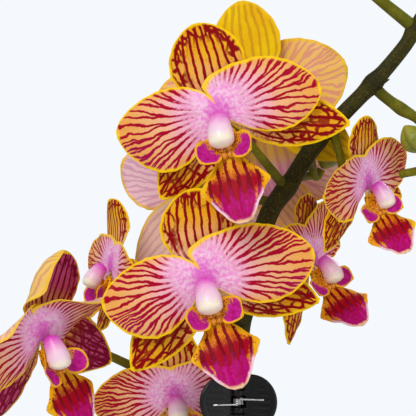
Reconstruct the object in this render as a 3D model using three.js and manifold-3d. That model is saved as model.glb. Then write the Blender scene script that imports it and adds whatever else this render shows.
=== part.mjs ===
// A potted Phalaenopsis orchid: ten striped flowers on two arching spikes, five leaves, a claw
// clip that holds the main spike to a stake, and a plain cover pot with an inner pot of bark.
// Millimetres, +Z up. The origin is the centre of the pot's flat underside, and the flowers'
// best side looks along -Y.
import * as THREE from "three";
import { mergeVertices } from "three/addons/utils/BufferGeometryUtils.js";
import Module from "manifold-3d";

const wasm = await Module();
wasm.setup();

// ---- Driving dimensions ---------------------------------------------------------------------
const GAP = 0.3; // between pieces that touch

const POT_HEIGHT = 120;
const POT_RIM_R = 64;
const POT_BASE_R = 47;
const POT_WALL = 4.5;
const POT_FLOOR = 6;
const LINER_CLEARANCE = 1.5; // cover pot to inner pot, on the radius
const LINER_WALL = 1.4;
const LINER_BELOW_RIM = 12;
const DRAIN_R = 8;
const BARK_BELOW_LINER = 12;

const CROWN_R = 10;
const CROWN_RISE = 28; // above the bark
const CROWN_DEPTH = 12; // in the bark
const CROWN_BACK = 19; // behind the stake's line
const LEAF_LENGTH = 150;
const LEAF_WIDTH = 52;
const LEAF_THICKNESS = 2.6;
const ROOT_R = 2.4;

const STEM_R = 2.9;
const STEM_RISE = 197; // bark to the level that the flowers are measured from
const PEDICEL_R = 1.3;
const STAKE_R = 2;
const STAKE_SPACE = 0.4; // stem to stake
const STAKE_DEPTH = 75; // in the bark
const STAKE_ABOVE_CLIP = 6;

const CLIP_UP = 2; // the clip's middle, above that level
const CLIP_HEIGHT = 11;
const CLIP_BAND = 2; // thickness of the claws
const CLIP_ROOM = 0.5; // claws to the stem and the stake
const CLAW_HEEL = 72; // degrees that a claw reaches towards the hinge
const CLAW_TOE = 85; // and towards the other claw, behind the stake
const WING_R = 8.4;
const WING_THICKNESS = 1.6;
const WING_MIDDLE = 4.2; // hinge to the middle of the wing's disc
const WING_ANGLE = 20; // degrees, from straight across towards the front
const EAR_R = 2.2;
const EAR_THICKNESS = 1.7;
const PIN_R = 0.7;
const PIN_CLEARANCE = 0.25;

const FLOWER_SPAN = 64; // petal tip to petal tip, at scale 1
const TEPAL_THICKNESS = 1.2;

// ---- Derived places -------------------------------------------------------------------------
const LINER_TOP = POT_HEIGHT - LINER_BELOW_RIM;
const BARK_TOP = LINER_TOP - BARK_BELOW_LINER;
const DATUM_Z = BARK_TOP + STEM_RISE; // places on the spikes are measured from (0, 0, DATUM_Z)
const CLIP_Z = DATUM_Z + CLIP_UP;
const STAKE_Y = STEM_R + STAKE_SPACE + STAKE_R;
const BUNDLE_Y = (STAKE_Y + STAKE_R - STEM_R) / 2; // middle of the stem and stake together
const CLAW_R = BUNDLE_Y + STEM_R + CLIP_ROOM; // inner radius of the claws
const HINGE_Y = BUNDLE_Y - CLAW_R - CLIP_BAND - EAR_R - 0.4;
const FLOWER_SCALE = FLOWER_SPAN / 64;

const deg = THREE.MathUtils.degToRad;
const vec = (x, y, z) => new THREE.Vector3(x, y, z);
const range = (count) => [...Array(count).keys()];
const mix = THREE.MathUtils.lerp;

// ---- Closed solids --------------------------------------------------------------------------

// Joins a row of rings, each with the same even number of points, into one closed solid.
function solidFromRings(rings) {
  const sides = rings[0].length;
  const triangles = [];
  const last = (rings.length - 1) * sides;
  for (const r of range(rings.length - 1)) {
    for (const i of range(sides)) {
      const a = r * sides + i;
      const b = r * sides + ((i + 1) % sides);
      triangles.push([a, b, b + sides], [a, b + sides, a + sides]);
    }
  }
  // Each end is closed by a strip that zigzags between its two halves.
  for (const i of range(sides / 2)) {
    const strip = [i, i + 1, sides - i - 1, (sides - i) % sides];
    for (const [a, b, c] of [[0, 2, 1], [0, 3, 2]]) {
      const corner = [strip[a], strip[b], strip[c]];
      if (new Set(corner).size < 3) continue;
      triangles.push(corner, corner.map((k) => k + last).reverse());
    }
  }
  const points = rings.flat();
  let volume = 0;
  for (const [a, b, c] of triangles) {
    volume += points[a].dot(vec(0, 0, 0).crossVectors(points[b], points[c]));
  }
  const outward = volume > 0 ? triangles : triangles.map((t) => t.toReversed());
  return new wasm.Manifold(
    new wasm.Mesh({
      numProp: 3,
      vertProperties: new Float32Array(points.flatMap((p) => p.toArray())),
      triVerts: new Uint32Array(outward.flat()),
    }),
  );
}

// Turns one of three.js's closed geometries into a solid.
function solidFromGeometry(geometry) {
  geometry.deleteAttribute("normal");
  geometry.deleteAttribute("uv");
  const merged = mergeVertices(geometry, 1e-3);
  return new wasm.Manifold(
    new wasm.Mesh({
      numProp: 3,
      vertProperties: merged.attributes.position.array,
      triVerts: new Uint32Array(merged.index.array),
    }),
  );
}

const join = (solids) => solids.reduce((all, solid) => all.add(solid));

// A round tube through the given points, with a radius for each point.
function tube(points, radii, sides = 8, stepsPerSpan = 2) {
  const curve = new THREE.CatmullRomCurve3(points, false, "centripetal");
  const spans = points.length - 1;
  let across = null;
  const rings = range(spans * stepsPerSpan + 1).map((step) => {
    const t = step / (spans * stepsPerSpan);
    const along = curve.getTangent(t);
    if (!across) across = Math.abs(along.x) < 0.8 ? vec(1, 0, 0) : vec(0, 1, 0);
    across = across.addScaledVector(along, -across.dot(along)).normalize();
    const up = vec(0, 0, 0).crossVectors(along, across);
    const span = Math.min(Math.floor(t * spans), spans - 1);
    const radius = mix(radii[span], radii[span + 1], t * spans - span);
    const centre = curve.getPoint(t);
    return range(sides).map((i) => {
      const turn = (2 * Math.PI * i) / sides;
      return centre
        .clone()
        .addScaledVector(across, radius * Math.cos(turn))
        .addScaledVector(up, radius * Math.sin(turn));
    });
  });
  return solidFromRings(rings);
}

// A thin blade that grows along +X, with its width along Y and its front towards +Z. Its middle
// line starts at the angle rise and turns down by bend in all, its edges fall back by reflex, a
// share of the half width, and it twists about its length by twist in all.
function blade({
  length,
  width,
  thickness,
  outline,
  rise = 0,
  bend = 0,
  reflex = 0,
  twist = 0,
  rings = 6,
}) {
  const columns = [-1, -0.55, 0.55, 1];
  const section = [
    ...columns.map((v) => [v, Math.abs(v) === 1 ? 0 : 1]),
    ...columns.slice(1, -1).reverse().map((v) => [v, -1]),
  ];
  const middle = vec(0, 0, 0);
  let before = 0;
  return solidFromRings(
    range(rings).map((r) => {
      const u = (1 - Math.cos((Math.PI * r) / (rings - 1))) / 2;
      const angle = deg(rise - bend * u);
      const chord = deg(rise - (bend * (u + before)) / 2);
      middle.x += (u - before) * length * Math.cos(chord);
      middle.z += (u - before) * length * Math.sin(chord);
      before = u;
      const half = (width / 2) * outline(u);
      const turn = deg(twist * THREE.MathUtils.smoothstep(u, 0, 0.7));
      return section.map(([v, side]) => {
        const flat = -reflex * half * v * v + (side * thickness) / 2;
        const lift = flat * Math.cos(turn) + v * half * Math.sin(turn);
        return vec(
          middle.x - lift * Math.sin(angle),
          v * half * Math.cos(turn) - flat * Math.sin(turn),
          middle.z + lift * Math.cos(angle),
        );
      });
    }),
  );
}

// The share of a blade's full width at u, from a list of [u, share] pairs.
function outlineThrough(pairs) {
  return (u) => {
    const after = Math.max(1, pairs.findIndex(([at]) => at >= u));
    const [u0, w0] = pairs[after - 1];
    const [u1, w1] = pairs[after];
    return mix(w0, w1, THREE.MathUtils.smoothstep(u, u0, u1) * 0.5 + ((u - u0) / (u1 - u0)) * 0.5);
  };
}

// An oval outline that is widest at the share widest of its length. full below 1 makes its base
// rounder.
function oval(widest, base, tip, full = 0.95) {
  const power = Math.log(0.5) / Math.log(widest);
  return (u) => Math.max(mix(base, tip, u), Math.sin(Math.PI * u ** power) ** mix(full, 0.55, u));
}

// Places a blade at a point, growing along the direction along, with its front towards front.
function aim(solid, at, along, front) {
  const x = along.clone().normalize();
  const z = front.clone().addScaledVector(x, -front.dot(x)).normalize();
  const y = vec(0, 0, 0).crossVectors(z, x);
  const matrix = new THREE.Matrix4().makeBasis(x, y, z).setPosition(at);
  return solid.transform(matrix.elements);
}

// ---- Materials ------------------------------------------------------------------------------
const material = (color, roughness, metalness = 0) =>
  new THREE.MeshStandardMaterial({ color, roughness, metalness });
const GLAZE = material(0xe9e7e1, 0.2);
const LINER_PLASTIC = material(0x3a3d3b, 0.6);
const BARK = material(0x6b4529, 0.95);
const LEAF = material(0x2f5a24, 0.4);
const CROWN = material(0x50662c, 0.6);
const ROOT = material(0xa9b39a, 0.7);
const STEM = material(0x3c3d16, 0.55);
const BUD = material(0x7d8a25, 0.5);
const STAKE = material(0x2f3a2a, 0.6);
const CLIP_PLASTIC = material(0x121212, 0.35);
const STEEL = material(0xc9c9c9, 0.3, 1);
const SEPAL = material(0xe2a81a, 0.5);
const PETAL = material(0xefc27b, 0.5);
const LIP = material(0xb0107a, 0.45);
const COLUMN = material(0xf2d0dc, 0.4);

const orchid = new THREE.Group();

function addPiece(name, solid, look, parent = orchid) {
  const { vertProperties, triVerts } = solid.getMesh();
  const geometry = new THREE.BufferGeometry();
  geometry.setAttribute("position", new THREE.BufferAttribute(vertProperties, 3));
  geometry.setIndex(new THREE.BufferAttribute(triVerts, 1));
  geometry.computeVertexNormals();
  const mesh = new THREE.Mesh(geometry, look);
  mesh.name = name;
  parent.add(mesh);
}

// ---- Pot, inner pot and bark ----------------------------------------------------------------
const outerRadiusAt = (z) => mix(POT_BASE_R, POT_RIM_R, z / POT_HEIGHT);

// A turned solid from its profile of [radius, height] pairs.
function turned(profile, segments = 32) {
  const points = profile.map(([r, z]) => new THREE.Vector2(r, z));
  // LatheGeometry turns about +Y, so the profile's height is stood up along +Z afterwards.
  return solidFromGeometry(new THREE.LatheGeometry(points, segments).rotateX(Math.PI / 2));
}

function coverPot() {
  const inner = (z) => outerRadiusAt(z) - POT_WALL;
  const soft = 1.5; // rounded edges
  return turned([
    [0, 0],
    [POT_BASE_R - soft, 0],
    [outerRadiusAt(soft), soft],
    [outerRadiusAt(POT_HEIGHT - soft), POT_HEIGHT - soft],
    [outerRadiusAt(POT_HEIGHT) - soft, POT_HEIGHT],
    [inner(POT_HEIGHT) + soft, POT_HEIGHT],
    [inner(POT_HEIGHT - soft), POT_HEIGHT - soft],
    [inner(POT_FLOOR + 3), POT_FLOOR + 3],
    [inner(POT_FLOOR) - 3, POT_FLOOR],
    [0, POT_FLOOR],
  ]);
}

const LINER_BOTTOM = POT_FLOOR + GAP;
const linerRadiusAt = (z) => outerRadiusAt(z) - POT_WALL - LINER_CLEARANCE;

function nurseryPot() {
  const low = LINER_BOTTOM + 4;
  const inner = (z) => linerRadiusAt(z) - LINER_WALL;
  return turned([
    [DRAIN_R, LINER_BOTTOM],
    [linerRadiusAt(low) - 4, LINER_BOTTOM],
    [linerRadiusAt(low), low],
    [linerRadiusAt(LINER_TOP), LINER_TOP],
    [inner(LINER_TOP), LINER_TOP],
    [inner(low + LINER_WALL), low + LINER_WALL],
    [inner(low) - 4, LINER_BOTTOM + LINER_WALL],
    [DRAIN_R, LINER_BOTTOM + LINER_WALL],
    [DRAIN_R, LINER_BOTTOM],
  ]);
}

function barkFill() {
  const bottom = LINER_BOTTOM + LINER_WALL + GAP;
  const low = bottom + 5;
  const inner = (z) => linerRadiusAt(z) - LINER_WALL - GAP;
  return turned([
    [0, bottom],
    [inner(low) - 5, bottom],
    [inner(low), low],
    [inner(BARK_TOP - 2), BARK_TOP - 2],
    [inner(BARK_TOP) - 6, BARK_TOP],
    [0, BARK_TOP],
  ]);
}

addPiece("cover_pot", coverPot(), GLAZE);
addPiece("nursery_pot", nurseryPot(), LINER_PLASTIC);

// ---- Crown, leaves and roots ----------------------------------------------------------------
function crown(extra = 0) {
  const heights = [-CROWN_DEPTH, 0, CROWN_RISE * 0.6, CROWN_RISE];
  const shares = [0.7, 1, 0.85, 0.35];
  return tube(
    heights.map((z, i) => vec(0, CROWN_BACK, BARK_TOP + z + (i === 3 ? extra : 0))),
    shares.map((share) => share * CROWN_R + extra),
    12,
    1,
  );
}

// side is +1 for a leaf towards +X, and turn swings it about the crown in degrees.
const LEAVES = [
  { side: -1, height: 3, turn: -6, scale: 1, rise: 38, bend: 62 },
  { side: 1, height: 5, turn: 5, scale: 0.97, rise: 42, bend: 64 },
  { side: -1, height: 12, turn: 4, scale: 0.86, rise: 52, bend: 60 },
  { side: 1, height: 14, turn: -4, scale: 0.8, rise: 56, bend: 58 },
  { side: -1, height: 20, turn: -14, scale: 0.48, rise: 70, bend: 30 },
];

const LEAF_OUTLINE = oval(0.6, 0.34, 0.14);

function leaf({ side, height, turn, scale, rise, bend }) {
  const solid = blade({
    length: LEAF_LENGTH * scale,
    width: LEAF_WIDTH * scale,
    thickness: LEAF_THICKNESS,
    outline: LEAF_OUTLINE,
    rise,
    bend,
    reflex: -0.22,
    rings: 9,
  });
  const start = vec(side * CROWN_R * 0.55, CROWN_BACK, BARK_TOP + height);
  const along = vec(side * Math.cos(deg(turn)), Math.sin(deg(turn)), 0);
  return aim(solid, start, along, vec(0, 0, 1)).subtract(crown(GAP));
}

addPiece("plant_crown", crown(), CROWN);
LEAVES.forEach((shape, i) => addPiece(`leaf_${i + 1}`, leaf(shape), LEAF));

const atBark = (x, y, z) => vec(x, CROWN_BACK + y, BARK_TOP + z);
const ROOTS = [
  [atBark(5, -7, 3), atBark(14, -20, 9), atBark(24, -38, 6), atBark(28, -46, -10)],
  [atBark(6, 6, 3), atBark(15, 18, 18), atBark(18, 37, 31), atBark(12, 52, 35)],
];

function root(points, extra = 0) {
  const radii = points.map((p, i) => ROOT_R * (i === points.length - 1 ? 0.7 : 1) + extra);
  return tube(points, radii, 8, 3);
}

ROOTS.forEach((points, i) =>
  addPiece(`aerial_root_${i + 1}`, root(points).subtract(crown(GAP)), ROOT),
);

// ---- Stake ----------------------------------------------------------------------------------
function stake(extra = 0) {
  const low = vec(0, STAKE_Y, BARK_TOP - STAKE_DEPTH - extra);
  const high = vec(0, STAKE_Y, CLIP_Z + STAKE_ABOVE_CLIP);
  return tube([low, high], [STAKE_R + extra, STAKE_R + extra], 10, 1);
}

addPiece("support_stake", stake(), STAKE);
const barkHoles = join([crown(GAP), stake(GAP), root(ROOTS[0], GAP)]);
addPiece("bark_mix", barkFill().subtract(barkHoles), BARK);

// ---- Flowers --------------------------------------------------------------------------------
// at is measured from the datum on the stem, in millimetres: right, back, up. turn is the way the
// flower faces, in degrees from the front, positive to the right; tilt raises its face; roll turns
// it anticlockwise as seen from its front. fan lists what differs from PLAIN_FAN: each blade's
// angle in the flower's face, its lean forward, its share of the usual length and any twist
// about its own length; the lip's third number is how far it bends forward instead.
const PLAIN_FAN = {
  dorsal: [90, -9, 1],
  rightPetal: [1, 3, 1],
  leftPetal: [179, 3, 1],
  leftSepal: [221, -13, 1],
  rightSepal: [-22, -13, 1],
  lip: [-90, 32, -12],
};
const FLOWERS = [
  {
    at: [-5.7, -32, 89.9],
    turn: -8,
    tilt: -5,
    roll: 13,
    scale: 1,
    fan: {
      dorsal: [93, -9, 0.98],
      rightPetal: [-2, 3, 0.95],
      leftPetal: [178, 3, 0.97],
      leftSepal: [221, -13, 0.9],
      rightSepal: [-18, -10, 1.08],
      lip: [-87, 32, -12],
    },
  },
  {
    at: [-10.5, -30, 40.5],
    turn: 2,
    tilt: -5,
    roll: 11,
    scale: 1,
    fan: {
      dorsal: [85, -9, 0.95],
      rightPetal: [2, 3, 1.03],
      leftPetal: [181, 3, 0.96],
      leftSepal: [222, -13, 1],
      rightSepal: [-23, -13, 1],
      lip: [-82, 32, -12],
    },
  },
  {
    at: [-59.9, -18, 24],
    turn: 43,
    tilt: -18,
    roll: 14,
    scale: 0.92,
    fan: {
      dorsal: [66, -7, 0.98],
      leftPetal: [193, 3, 1],
      rightPetal: [23, 4, 0.85, 22],
      leftSepal: [236, -10, 1],
      rightSepal: [-34, -11, 1.08],
      lip: [-74, 33, -4],
    },
  },
  { at: [-19.8, 12, 2.8], turn: 5, tilt: -5, roll: 7, scale: 0.79, fan: {} },
  {
    at: [39.6, -2, 69.5],
    turn: 55,
    tilt: -5,
    roll: 12,
    scale: 0.76,
    fan: { dorsal: [76, -7, 0.95], rightPetal: [12, 3, 0.95], lip: [-96, 8, 65] },
  },
  {
    at: [23.3, 14, 46],
    turn: 60,
    tilt: 0,
    roll: 0,
    scale: 0.82,
    fan: {
      dorsal: [78, -9, 0.88],
      rightPetal: [42, 3, 0.85],
      leftSepal: [246, -10, 1],
      rightSepal: [-14, -16, 0.8],
      lip: [-90, 15, 55],
    },
  },
  {
    at: [6.2, 15, 97.2],
    turn: 168,
    tilt: 0,
    roll: -9,
    scale: 1.05,
    fan: { leftPetal: [170, 3, 0.86] },
  },
  {
    at: [-12, 28, 67.4],
    turn: 192,
    tilt: 0,
    roll: 0,
    scale: 0.9,
    fan: { rightPetal: [19, 3, 0.9], leftPetal: [176, 3, 0.75], rightSepal: [-50, -10, 1] },
  },
  {
    at: [-39, 12, 43.7],
    turn: -70,
    tilt: 0,
    roll: 0,
    scale: 0.74,
    fan: {
      dorsal: [102, -3, 1],
      rightPetal: [-25, 3, 1],
      leftSepal: [235, -5, 1],
      lip: [-90, 15, 60],
    },
  },
  {
    at: [8.3, 45, 74.4],
    turn: 165,
    tilt: 0,
    roll: 0,
    scale: 0.86,
    fan: { leftSepal: [228, -13, 1] },
  },
];

const SEPAL_HUB_R = 4.4;
const PETAL_HUB_R = 4;
const PETAL_HUB_Z = 0.3; // back of the petals' joined base, in front of the sepals'

// A direction in the flower's face, at an angle from its right, leaning forward by lean.
const across = (angle, lean) =>
  vec(
    Math.cos(deg(angle)) * Math.cos(deg(lean)),
    Math.sin(deg(angle)) * Math.cos(deg(lean)),
    Math.sin(deg(lean)),
  );
const disc = (radius, from, to) => tube([vec(0, 0, from), vec(0, 0, to)], [radius, radius], 6, 1);

const LATERAL_SEPAL = {
  length: 36,
  width: 17,
  widest: 0.5,
  base: 0.3,
  full: 0.9,
  bend: -16,
  reflex: 0.15,
};
const DORSAL_SEPAL = {
  length: 28.5,
  width: 23,
  widest: 0.56,
  base: 0.3,
  full: 0.75,
  bend: -8,
  reflex: 0.08,
};
const PETAL_SIZE = {
  length: 33,
  width: 25,
  widest: 0.55,
  base: 0.22,
  full: 0.7,
  bend: 6,
  reflex: 0.1,
};

// A sepal or petal that spreads from the flower's middle at height z.
function tepal([angle, lean, share, twist = 0], z, { length, widest, base, full, ...size }) {
  const outline = oval(widest, base, 0.12, full);
  const shape = blade({
    ...size,
    length: length * share,
    thickness: TEPAL_THICKNESS,
    outline,
    twist,
  });
  return aim(shape, vec(0, 0, z), across(angle, lean), vec(0, 0, 1));
}

function sepals({ dorsal, leftSepal, rightSepal }) {
  const z = -TEPAL_THICKNESS / 2;
  return join([
    disc(SEPAL_HUB_R, -TEPAL_THICKNESS, 0),
    tepal(dorsal, z, DORSAL_SEPAL),
    tepal(leftSepal, z, LATERAL_SEPAL),
    tepal(rightSepal, z, LATERAL_SEPAL),
  ]);
}

function petals({ leftPetal, rightPetal }) {
  const z = PETAL_HUB_Z + TEPAL_THICKNESS / 2;
  return join([
    disc(PETAL_HUB_R, PETAL_HUB_Z, PETAL_HUB_Z + TEPAL_THICKNESS),
    tepal(leftPetal, z, PETAL_SIZE),
    tepal(rightPetal, z, PETAL_SIZE),
  ]);
}

const LIP_OUTLINE = outlineThrough([
  [0, 0.26],
  [0.27, 0.28],
  [0.5, 1],
  [0.78, 0.74],
  [0.94, 0.34],
  [1, 0.16],
]);

const MID_LOBE = {
  length: 31,
  width: 19,
  thickness: TEPAL_THICKNESS,
  outline: LIP_OUTLINE,
  reflex: 0.12,
  rings: 7,
};
const SIDE_LOBE = {
  length: 9.5,
  width: 8,
  thickness: TEPAL_THICKNESS,
  outline: oval(0.6, 0.5, 0.3),
  rings: 3,
};

// The lip grows along +X while it is made: its narrow claw carries the callus and the two side
// lobes, and widens into the mid-lobe.
function lip([angle, lean, bend]) {
  const midLobe = blade({ ...MID_LOBE, bend: -bend });
  const sideLobes = [-1, 1].map((side) =>
    aim(blade(SIDE_LOBE), vec(6, side * 1.5, 0.2), vec(0, side * 0.75, 0.62), vec(0, -side, 1)),
  );
  const callus = tube([vec(7, 0, 0), vec(7.8, 0, 1.9)], [2.2, 1.2], 6, 1);
  const along = across(angle, lean);
  return aim(join([midLobe, ...sideLobes, callus]), vec(0, -4.8, 2.2), along, vec(0, 0.5, 1));
}

// The column is an even oval about its middle point.
function column() {
  const middle = vec(0, -4.2, 6.9);
  const axis = vec(0, -0.82, 0.57);
  const halfLength = 7;
  const radius = 3.2;
  const stops = [-0.98, -0.6, 0, 0.6, 0.98];
  const path = stops.map((s) => middle.clone().addScaledVector(axis, s * halfLength));
  const radii = stops.map((s) => radius * Math.sqrt(1 - s * s));
  return tube(path, radii, 6, 1);
}

const fromDatum = ([x, y, z]) => vec(x, y, z).multiplyScalar(FLOWER_SCALE).add(vec(0, 0, DATUM_Z));

// A group whose +Z is the way the flower faces and whose +Y is its top.
function flowerFrame({ at, turn, tilt, roll, scale }) {
  const frame = new THREE.Group();
  frame.position.copy(fromDatum(at));
  frame.rotateZ(deg(turn)).rotateX(deg(90 - tilt)).rotateZ(deg(roll));
  frame.scale.setScalar(scale * FLOWER_SCALE);
  frame.updateMatrixWorld(true);
  return frame;
}

const flowerFrames = FLOWERS.map(flowerFrame);
FLOWERS.forEach(({ fan: ownFan }, i) => {
  const name = `flower_${i + 1}`;
  const frame = flowerFrames[i];
  const fan = { ...PLAIN_FAN, ...ownFan };
  orchid.add(frame);
  addPiece(`${name}_sepals`, sepals(fan), SEPAL, frame);
  addPiece(`${name}_petals`, petals(fan), PETAL, frame);
  addPiece(`${name}_lip`, lip(fan.lip), LIP, frame);
  addPiece(`${name}_column`, column(), COLUMN, frame);
});

// ---- Spikes and buds ------------------------------------------------------------------------
const MAIN_STEM = [
  [-0.3, 0, -3],
  [0, 0, 3.5],
  [0.9, 0, 24.9],
  [5.3, 0, 45.4],
  [9.9, 0, 60.3],
  [15.5, 0, 68.3],
  [24.8, 0, 82.6],
  [33.2, 0, 91.3],
  [43.4, 0, 101.8],
  [51.6, 0, 111.6],
  [55.8, 0.5, 117.8],
  [64, 2, 123],
  [80, 4, 130.5],
  [97, 6, 131],
  [108, 7, 125],
].map(fromDatum);
const BRANCH = [
  [41.5, 0, 99.8],
  [45.3, 0.5, 96.2],
  [50.8, 1, 92.2],
  [56.5, 2, 88.6],
  [61, 3, 81.5],
  [59, 5, 74.5],
  [51, 9, 72],
].map(fromDatum);
const SIDE_STEM = [
  [-25, 24, -40],
  [-27, 23, 0],
  [-27.5, 23, 22],
  [-28.5, 22, 36],
].map(fromDatum);

// The curved stalk from a point on a spike to the back of a flower, led aside by bow on its way.
function pedicel(start, flower, bow = [0, 0, 0]) {
  const from = fromDatum(start);
  const back = flowerFrames[flower].localToWorld(vec(0, 0, -TEPAL_THICKNESS - 2 * GAP));
  const behind = flowerFrames[flower].localToWorld(vec(0, 0, -9));
  const aside = vec(...bow).multiplyScalar(FLOWER_SCALE);
  const half = from.clone().lerp(behind, 0.5).add(aside);
  return tube([from, half, behind, back], [1.2, 1, 1, 1.25].map((share) => share * PEDICEL_R), 6, 2);
}

// A short stalk to a bud, and the bud. stalk is the stalk's share of the usual thickness.
const BUDS = [
  { from: [60.5, 3, 80], base: [57, 0, 79], tip: [51.5, -1, 87], radius: 4, stalk: 1 },
  { from: [54.8, 0, 117.3], base: [36.5, -1, 133], tip: [28, -2, 142.5], radius: 4.6, stalk: 1.35 },
  { from: [22, 1, 78.5], base: [26.5, 12, 74], tip: [32, 12, 84], radius: 3.8, stalk: 1 },
];

function bud({ base, tip, radius }) {
  const low = fromDatum(base);
  const high = fromDatum(tip);
  const stops = [0, 0.2, 0.5, 0.8, 1];
  const shares = [0.35, 0.8, 1, 0.75, 0.2];
  return tube(
    stops.map((s) => low.clone().lerp(high, s)),
    shares.map((share) => share * radius * FLOWER_SCALE),
    8,
    1,
  );
}

function budStalk({ from, base, tip, stalk }) {
  const end = fromDatum(base);
  const back = end.clone().sub(fromDatum(tip)).normalize();
  end.addScaledVector(back, GAP);
  const behind = end.clone().addScaledVector(back, 3);
  const radii = [1.2, 0.9, 1].map((share) => share * stalk * PEDICEL_R);
  return tube([fromDatum(from), behind, end], radii, 6, 2);
}

const stemRadii = (points, low, high) =>
  points.map((p, i) => mix(low, high, i / (points.length - 1)));

function mainSpike() {
  const foot = [
    vec(3.1 - 2 * STEM_R, CROWN_BACK - CROWN_R + 4.9 - STEM_R, BARK_TOP + 10),
    vec(-0.2 - 2 * STEM_R, CROWN_BACK - CROWN_R + 0.8 - 2 * STEM_R, BARK_TOP + 22),
    vec(-0.6 - STEM_R, 0.5, BARK_TOP + STEM_RISE * 0.35),
    vec(-0.6, 0, BARK_TOP + STEM_RISE * 0.65),
  ];
  const points = [...foot, ...MAIN_STEM];
  const radii = points.map((p, i) => {
    const past = (i - foot.length - 4) / (points.length - foot.length - 5);
    return STEM_R * (past < 0 ? 1 : mix(1, 0.5, past));
  });
  const stem = tube(points, radii, 6, 2);
  const branch = tube(BRANCH, stemRadii(BRANCH, 0.62 * STEM_R, PEDICEL_R), 6, 2);
  const stalks = [
    pedicel([15, 0, 67.5], 0),
    pedicel([2, 0, 30], 1),
    pedicel([29, 0, 87], 4),
    pedicel([6, 0, 48], 5),
    pedicel([24, 0, 82], 6),
    pedicel([12, 0, 63], 7),
    pedicel([17, 0, 71], 9, [14, 3, 0]),
  ];
  return join([stem, branch, ...stalks, ...BUDS.map(budStalk)]).subtract(crown(GAP));
}

function sideSpike() {
  const foot = [
    vec(-4, CROWN_BACK + CROWN_R - 5.9 + STEM_R, BARK_TOP + 8),
    vec(-8, CROWN_BACK + CROWN_R - 2.8 + 2 * STEM_R, BARK_TOP + 24),
    vec(-16, CROWN_BACK + CROWN_R - 7.8 + 2 * STEM_R, BARK_TOP + 87),
  ];
  const points = [...foot, ...SIDE_STEM];
  const stem = tube(points, stemRadii(points, 0.9 * STEM_R, 0.5 * STEM_R), 8, 2);
  const stalks = [
    pedicel([-26.5, 23, 8], 2, [0, 11, 0]),
    pedicel([-27, 23, -4], 3),
    pedicel([-28.5, 22, 36], 8),
  ];
  return join([stem, ...stalks]).subtract(crown(GAP));
}

addPiece("flower_spike", mainSpike(), STEM);
addPiece("side_spike", sideSpike(), STEM);
BUDS.forEach((shape, i) => addPiece(`bud_${i + 1}`, bud(shape), BUD));

// ---- Claw clip ------------------------------------------------------------------------------
// An upright prism from a flat outline, between two heights measured from the clip's middle.
function prism(shape, low, high, curveSegments = 8) {
  const options = { depth: high - low, bevelEnabled: false, curveSegments };
  const geometry = new THREE.ExtrudeGeometry(shape, options);
  return solidFromGeometry(geometry.translate(0, 0, CLIP_Z + low));
}

function circle(radius, x, y) {
  return new THREE.Shape().absarc(x, y, radius, 0, 2 * Math.PI, false);
}

// A straight bar seen from above, from one point to another.
function bar(x0, y0, x1, y1, width) {
  const side = new THREE.Vector2(y0 - y1, x1 - x0).setLength(width / 2);
  return new THREE.Shape([
    new THREE.Vector2(x0 - side.x, y0 - side.y),
    new THREE.Vector2(x1 - side.x, y1 - side.y),
    new THREE.Vector2(x1 + side.x, y1 + side.y),
    new THREE.Vector2(x0 + side.x, y0 + side.y),
  ]);
}

// side is -1 for the left half and +1 for the right half. ears lists the height of each ear's
// lower face from the clip's middle.
function clipHalf(side, ears) {
  const top = CLIP_HEIGHT / 2;
  const facing = side > 0 ? 0 : 180;
  const turnTo = (angle) => deg(facing + side * angle);
  const claw = new THREE.Shape();
  const outer = CLAW_R + CLIP_BAND;
  claw.absarc(0, BUNDLE_Y, outer, turnTo(-CLAW_HEEL), turnTo(CLAW_TOE), side < 0);
  claw.absarc(0, BUNDLE_Y, CLAW_R, turnTo(CLAW_TOE), turnTo(-CLAW_HEEL), side > 0);
  const middleR = CLAW_R + CLIP_BAND / 2;
  const heel = [
    side * middleR * Math.cos(deg(CLAW_HEEL)),
    BUNDLE_Y - middleR * Math.sin(deg(CLAW_HEEL)),
  ];
  const reach = [side * Math.cos(deg(WING_ANGLE)), -Math.sin(deg(WING_ANGLE))];
  const near = EAR_R + 0.6; // the wing starts beyond the other half's ears
  const wing = solidFromGeometry(
    new THREE.CylinderGeometry(WING_R, WING_R, WING_THICKNESS, 20)
      .translate(side * WING_MIDDLE, 0, 0)
      .rotateZ(-side * deg(WING_ANGLE))
      .translate(0, HINGE_Y, CLIP_Z),
  );
  const out = (distance) => [reach[0] * distance, HINGE_Y + reach[1] * distance];
  const beyond = bar(...out(near), ...out(3 * WING_R), 4 * WING_THICKNESS);
  const keep = prism(beyond, -2 * WING_R, 2 * WING_R);
  const shapes = [
    circle(EAR_R, 0, HINGE_Y),
    bar(0, HINGE_Y, ...heel, CLIP_BAND),
    bar(...out(0), ...out(near + 1), WING_THICKNESS),
  ];
  const links = ears.flatMap((low) => shapes.map((shape) => prism(shape, low, low + EAR_THICKNESS)));
  return join([prism(claw, -top, top), wing.intersect(keep), ...links]);
}

const CLIP_TOP = CLIP_HEIGHT / 2;
const PIN_HOLE_R = PIN_R + PIN_CLEARANCE;
const LEFT_EARS = [-CLIP_TOP, CLIP_TOP - EAR_THICKNESS];
const RIGHT_EARS = LEFT_EARS.map((low) => low - Math.sign(low) * (EAR_THICKNESS + GAP));
const SPRING_TOP = RIGHT_EARS[1] - GAP;

const pin = prism(circle(PIN_R, 0, HINGE_Y), -CLIP_TOP, CLIP_TOP);
const pinHole = prism(circle(PIN_HOLE_R, 0, HINGE_Y), -CLIP_TOP, CLIP_TOP);

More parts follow.
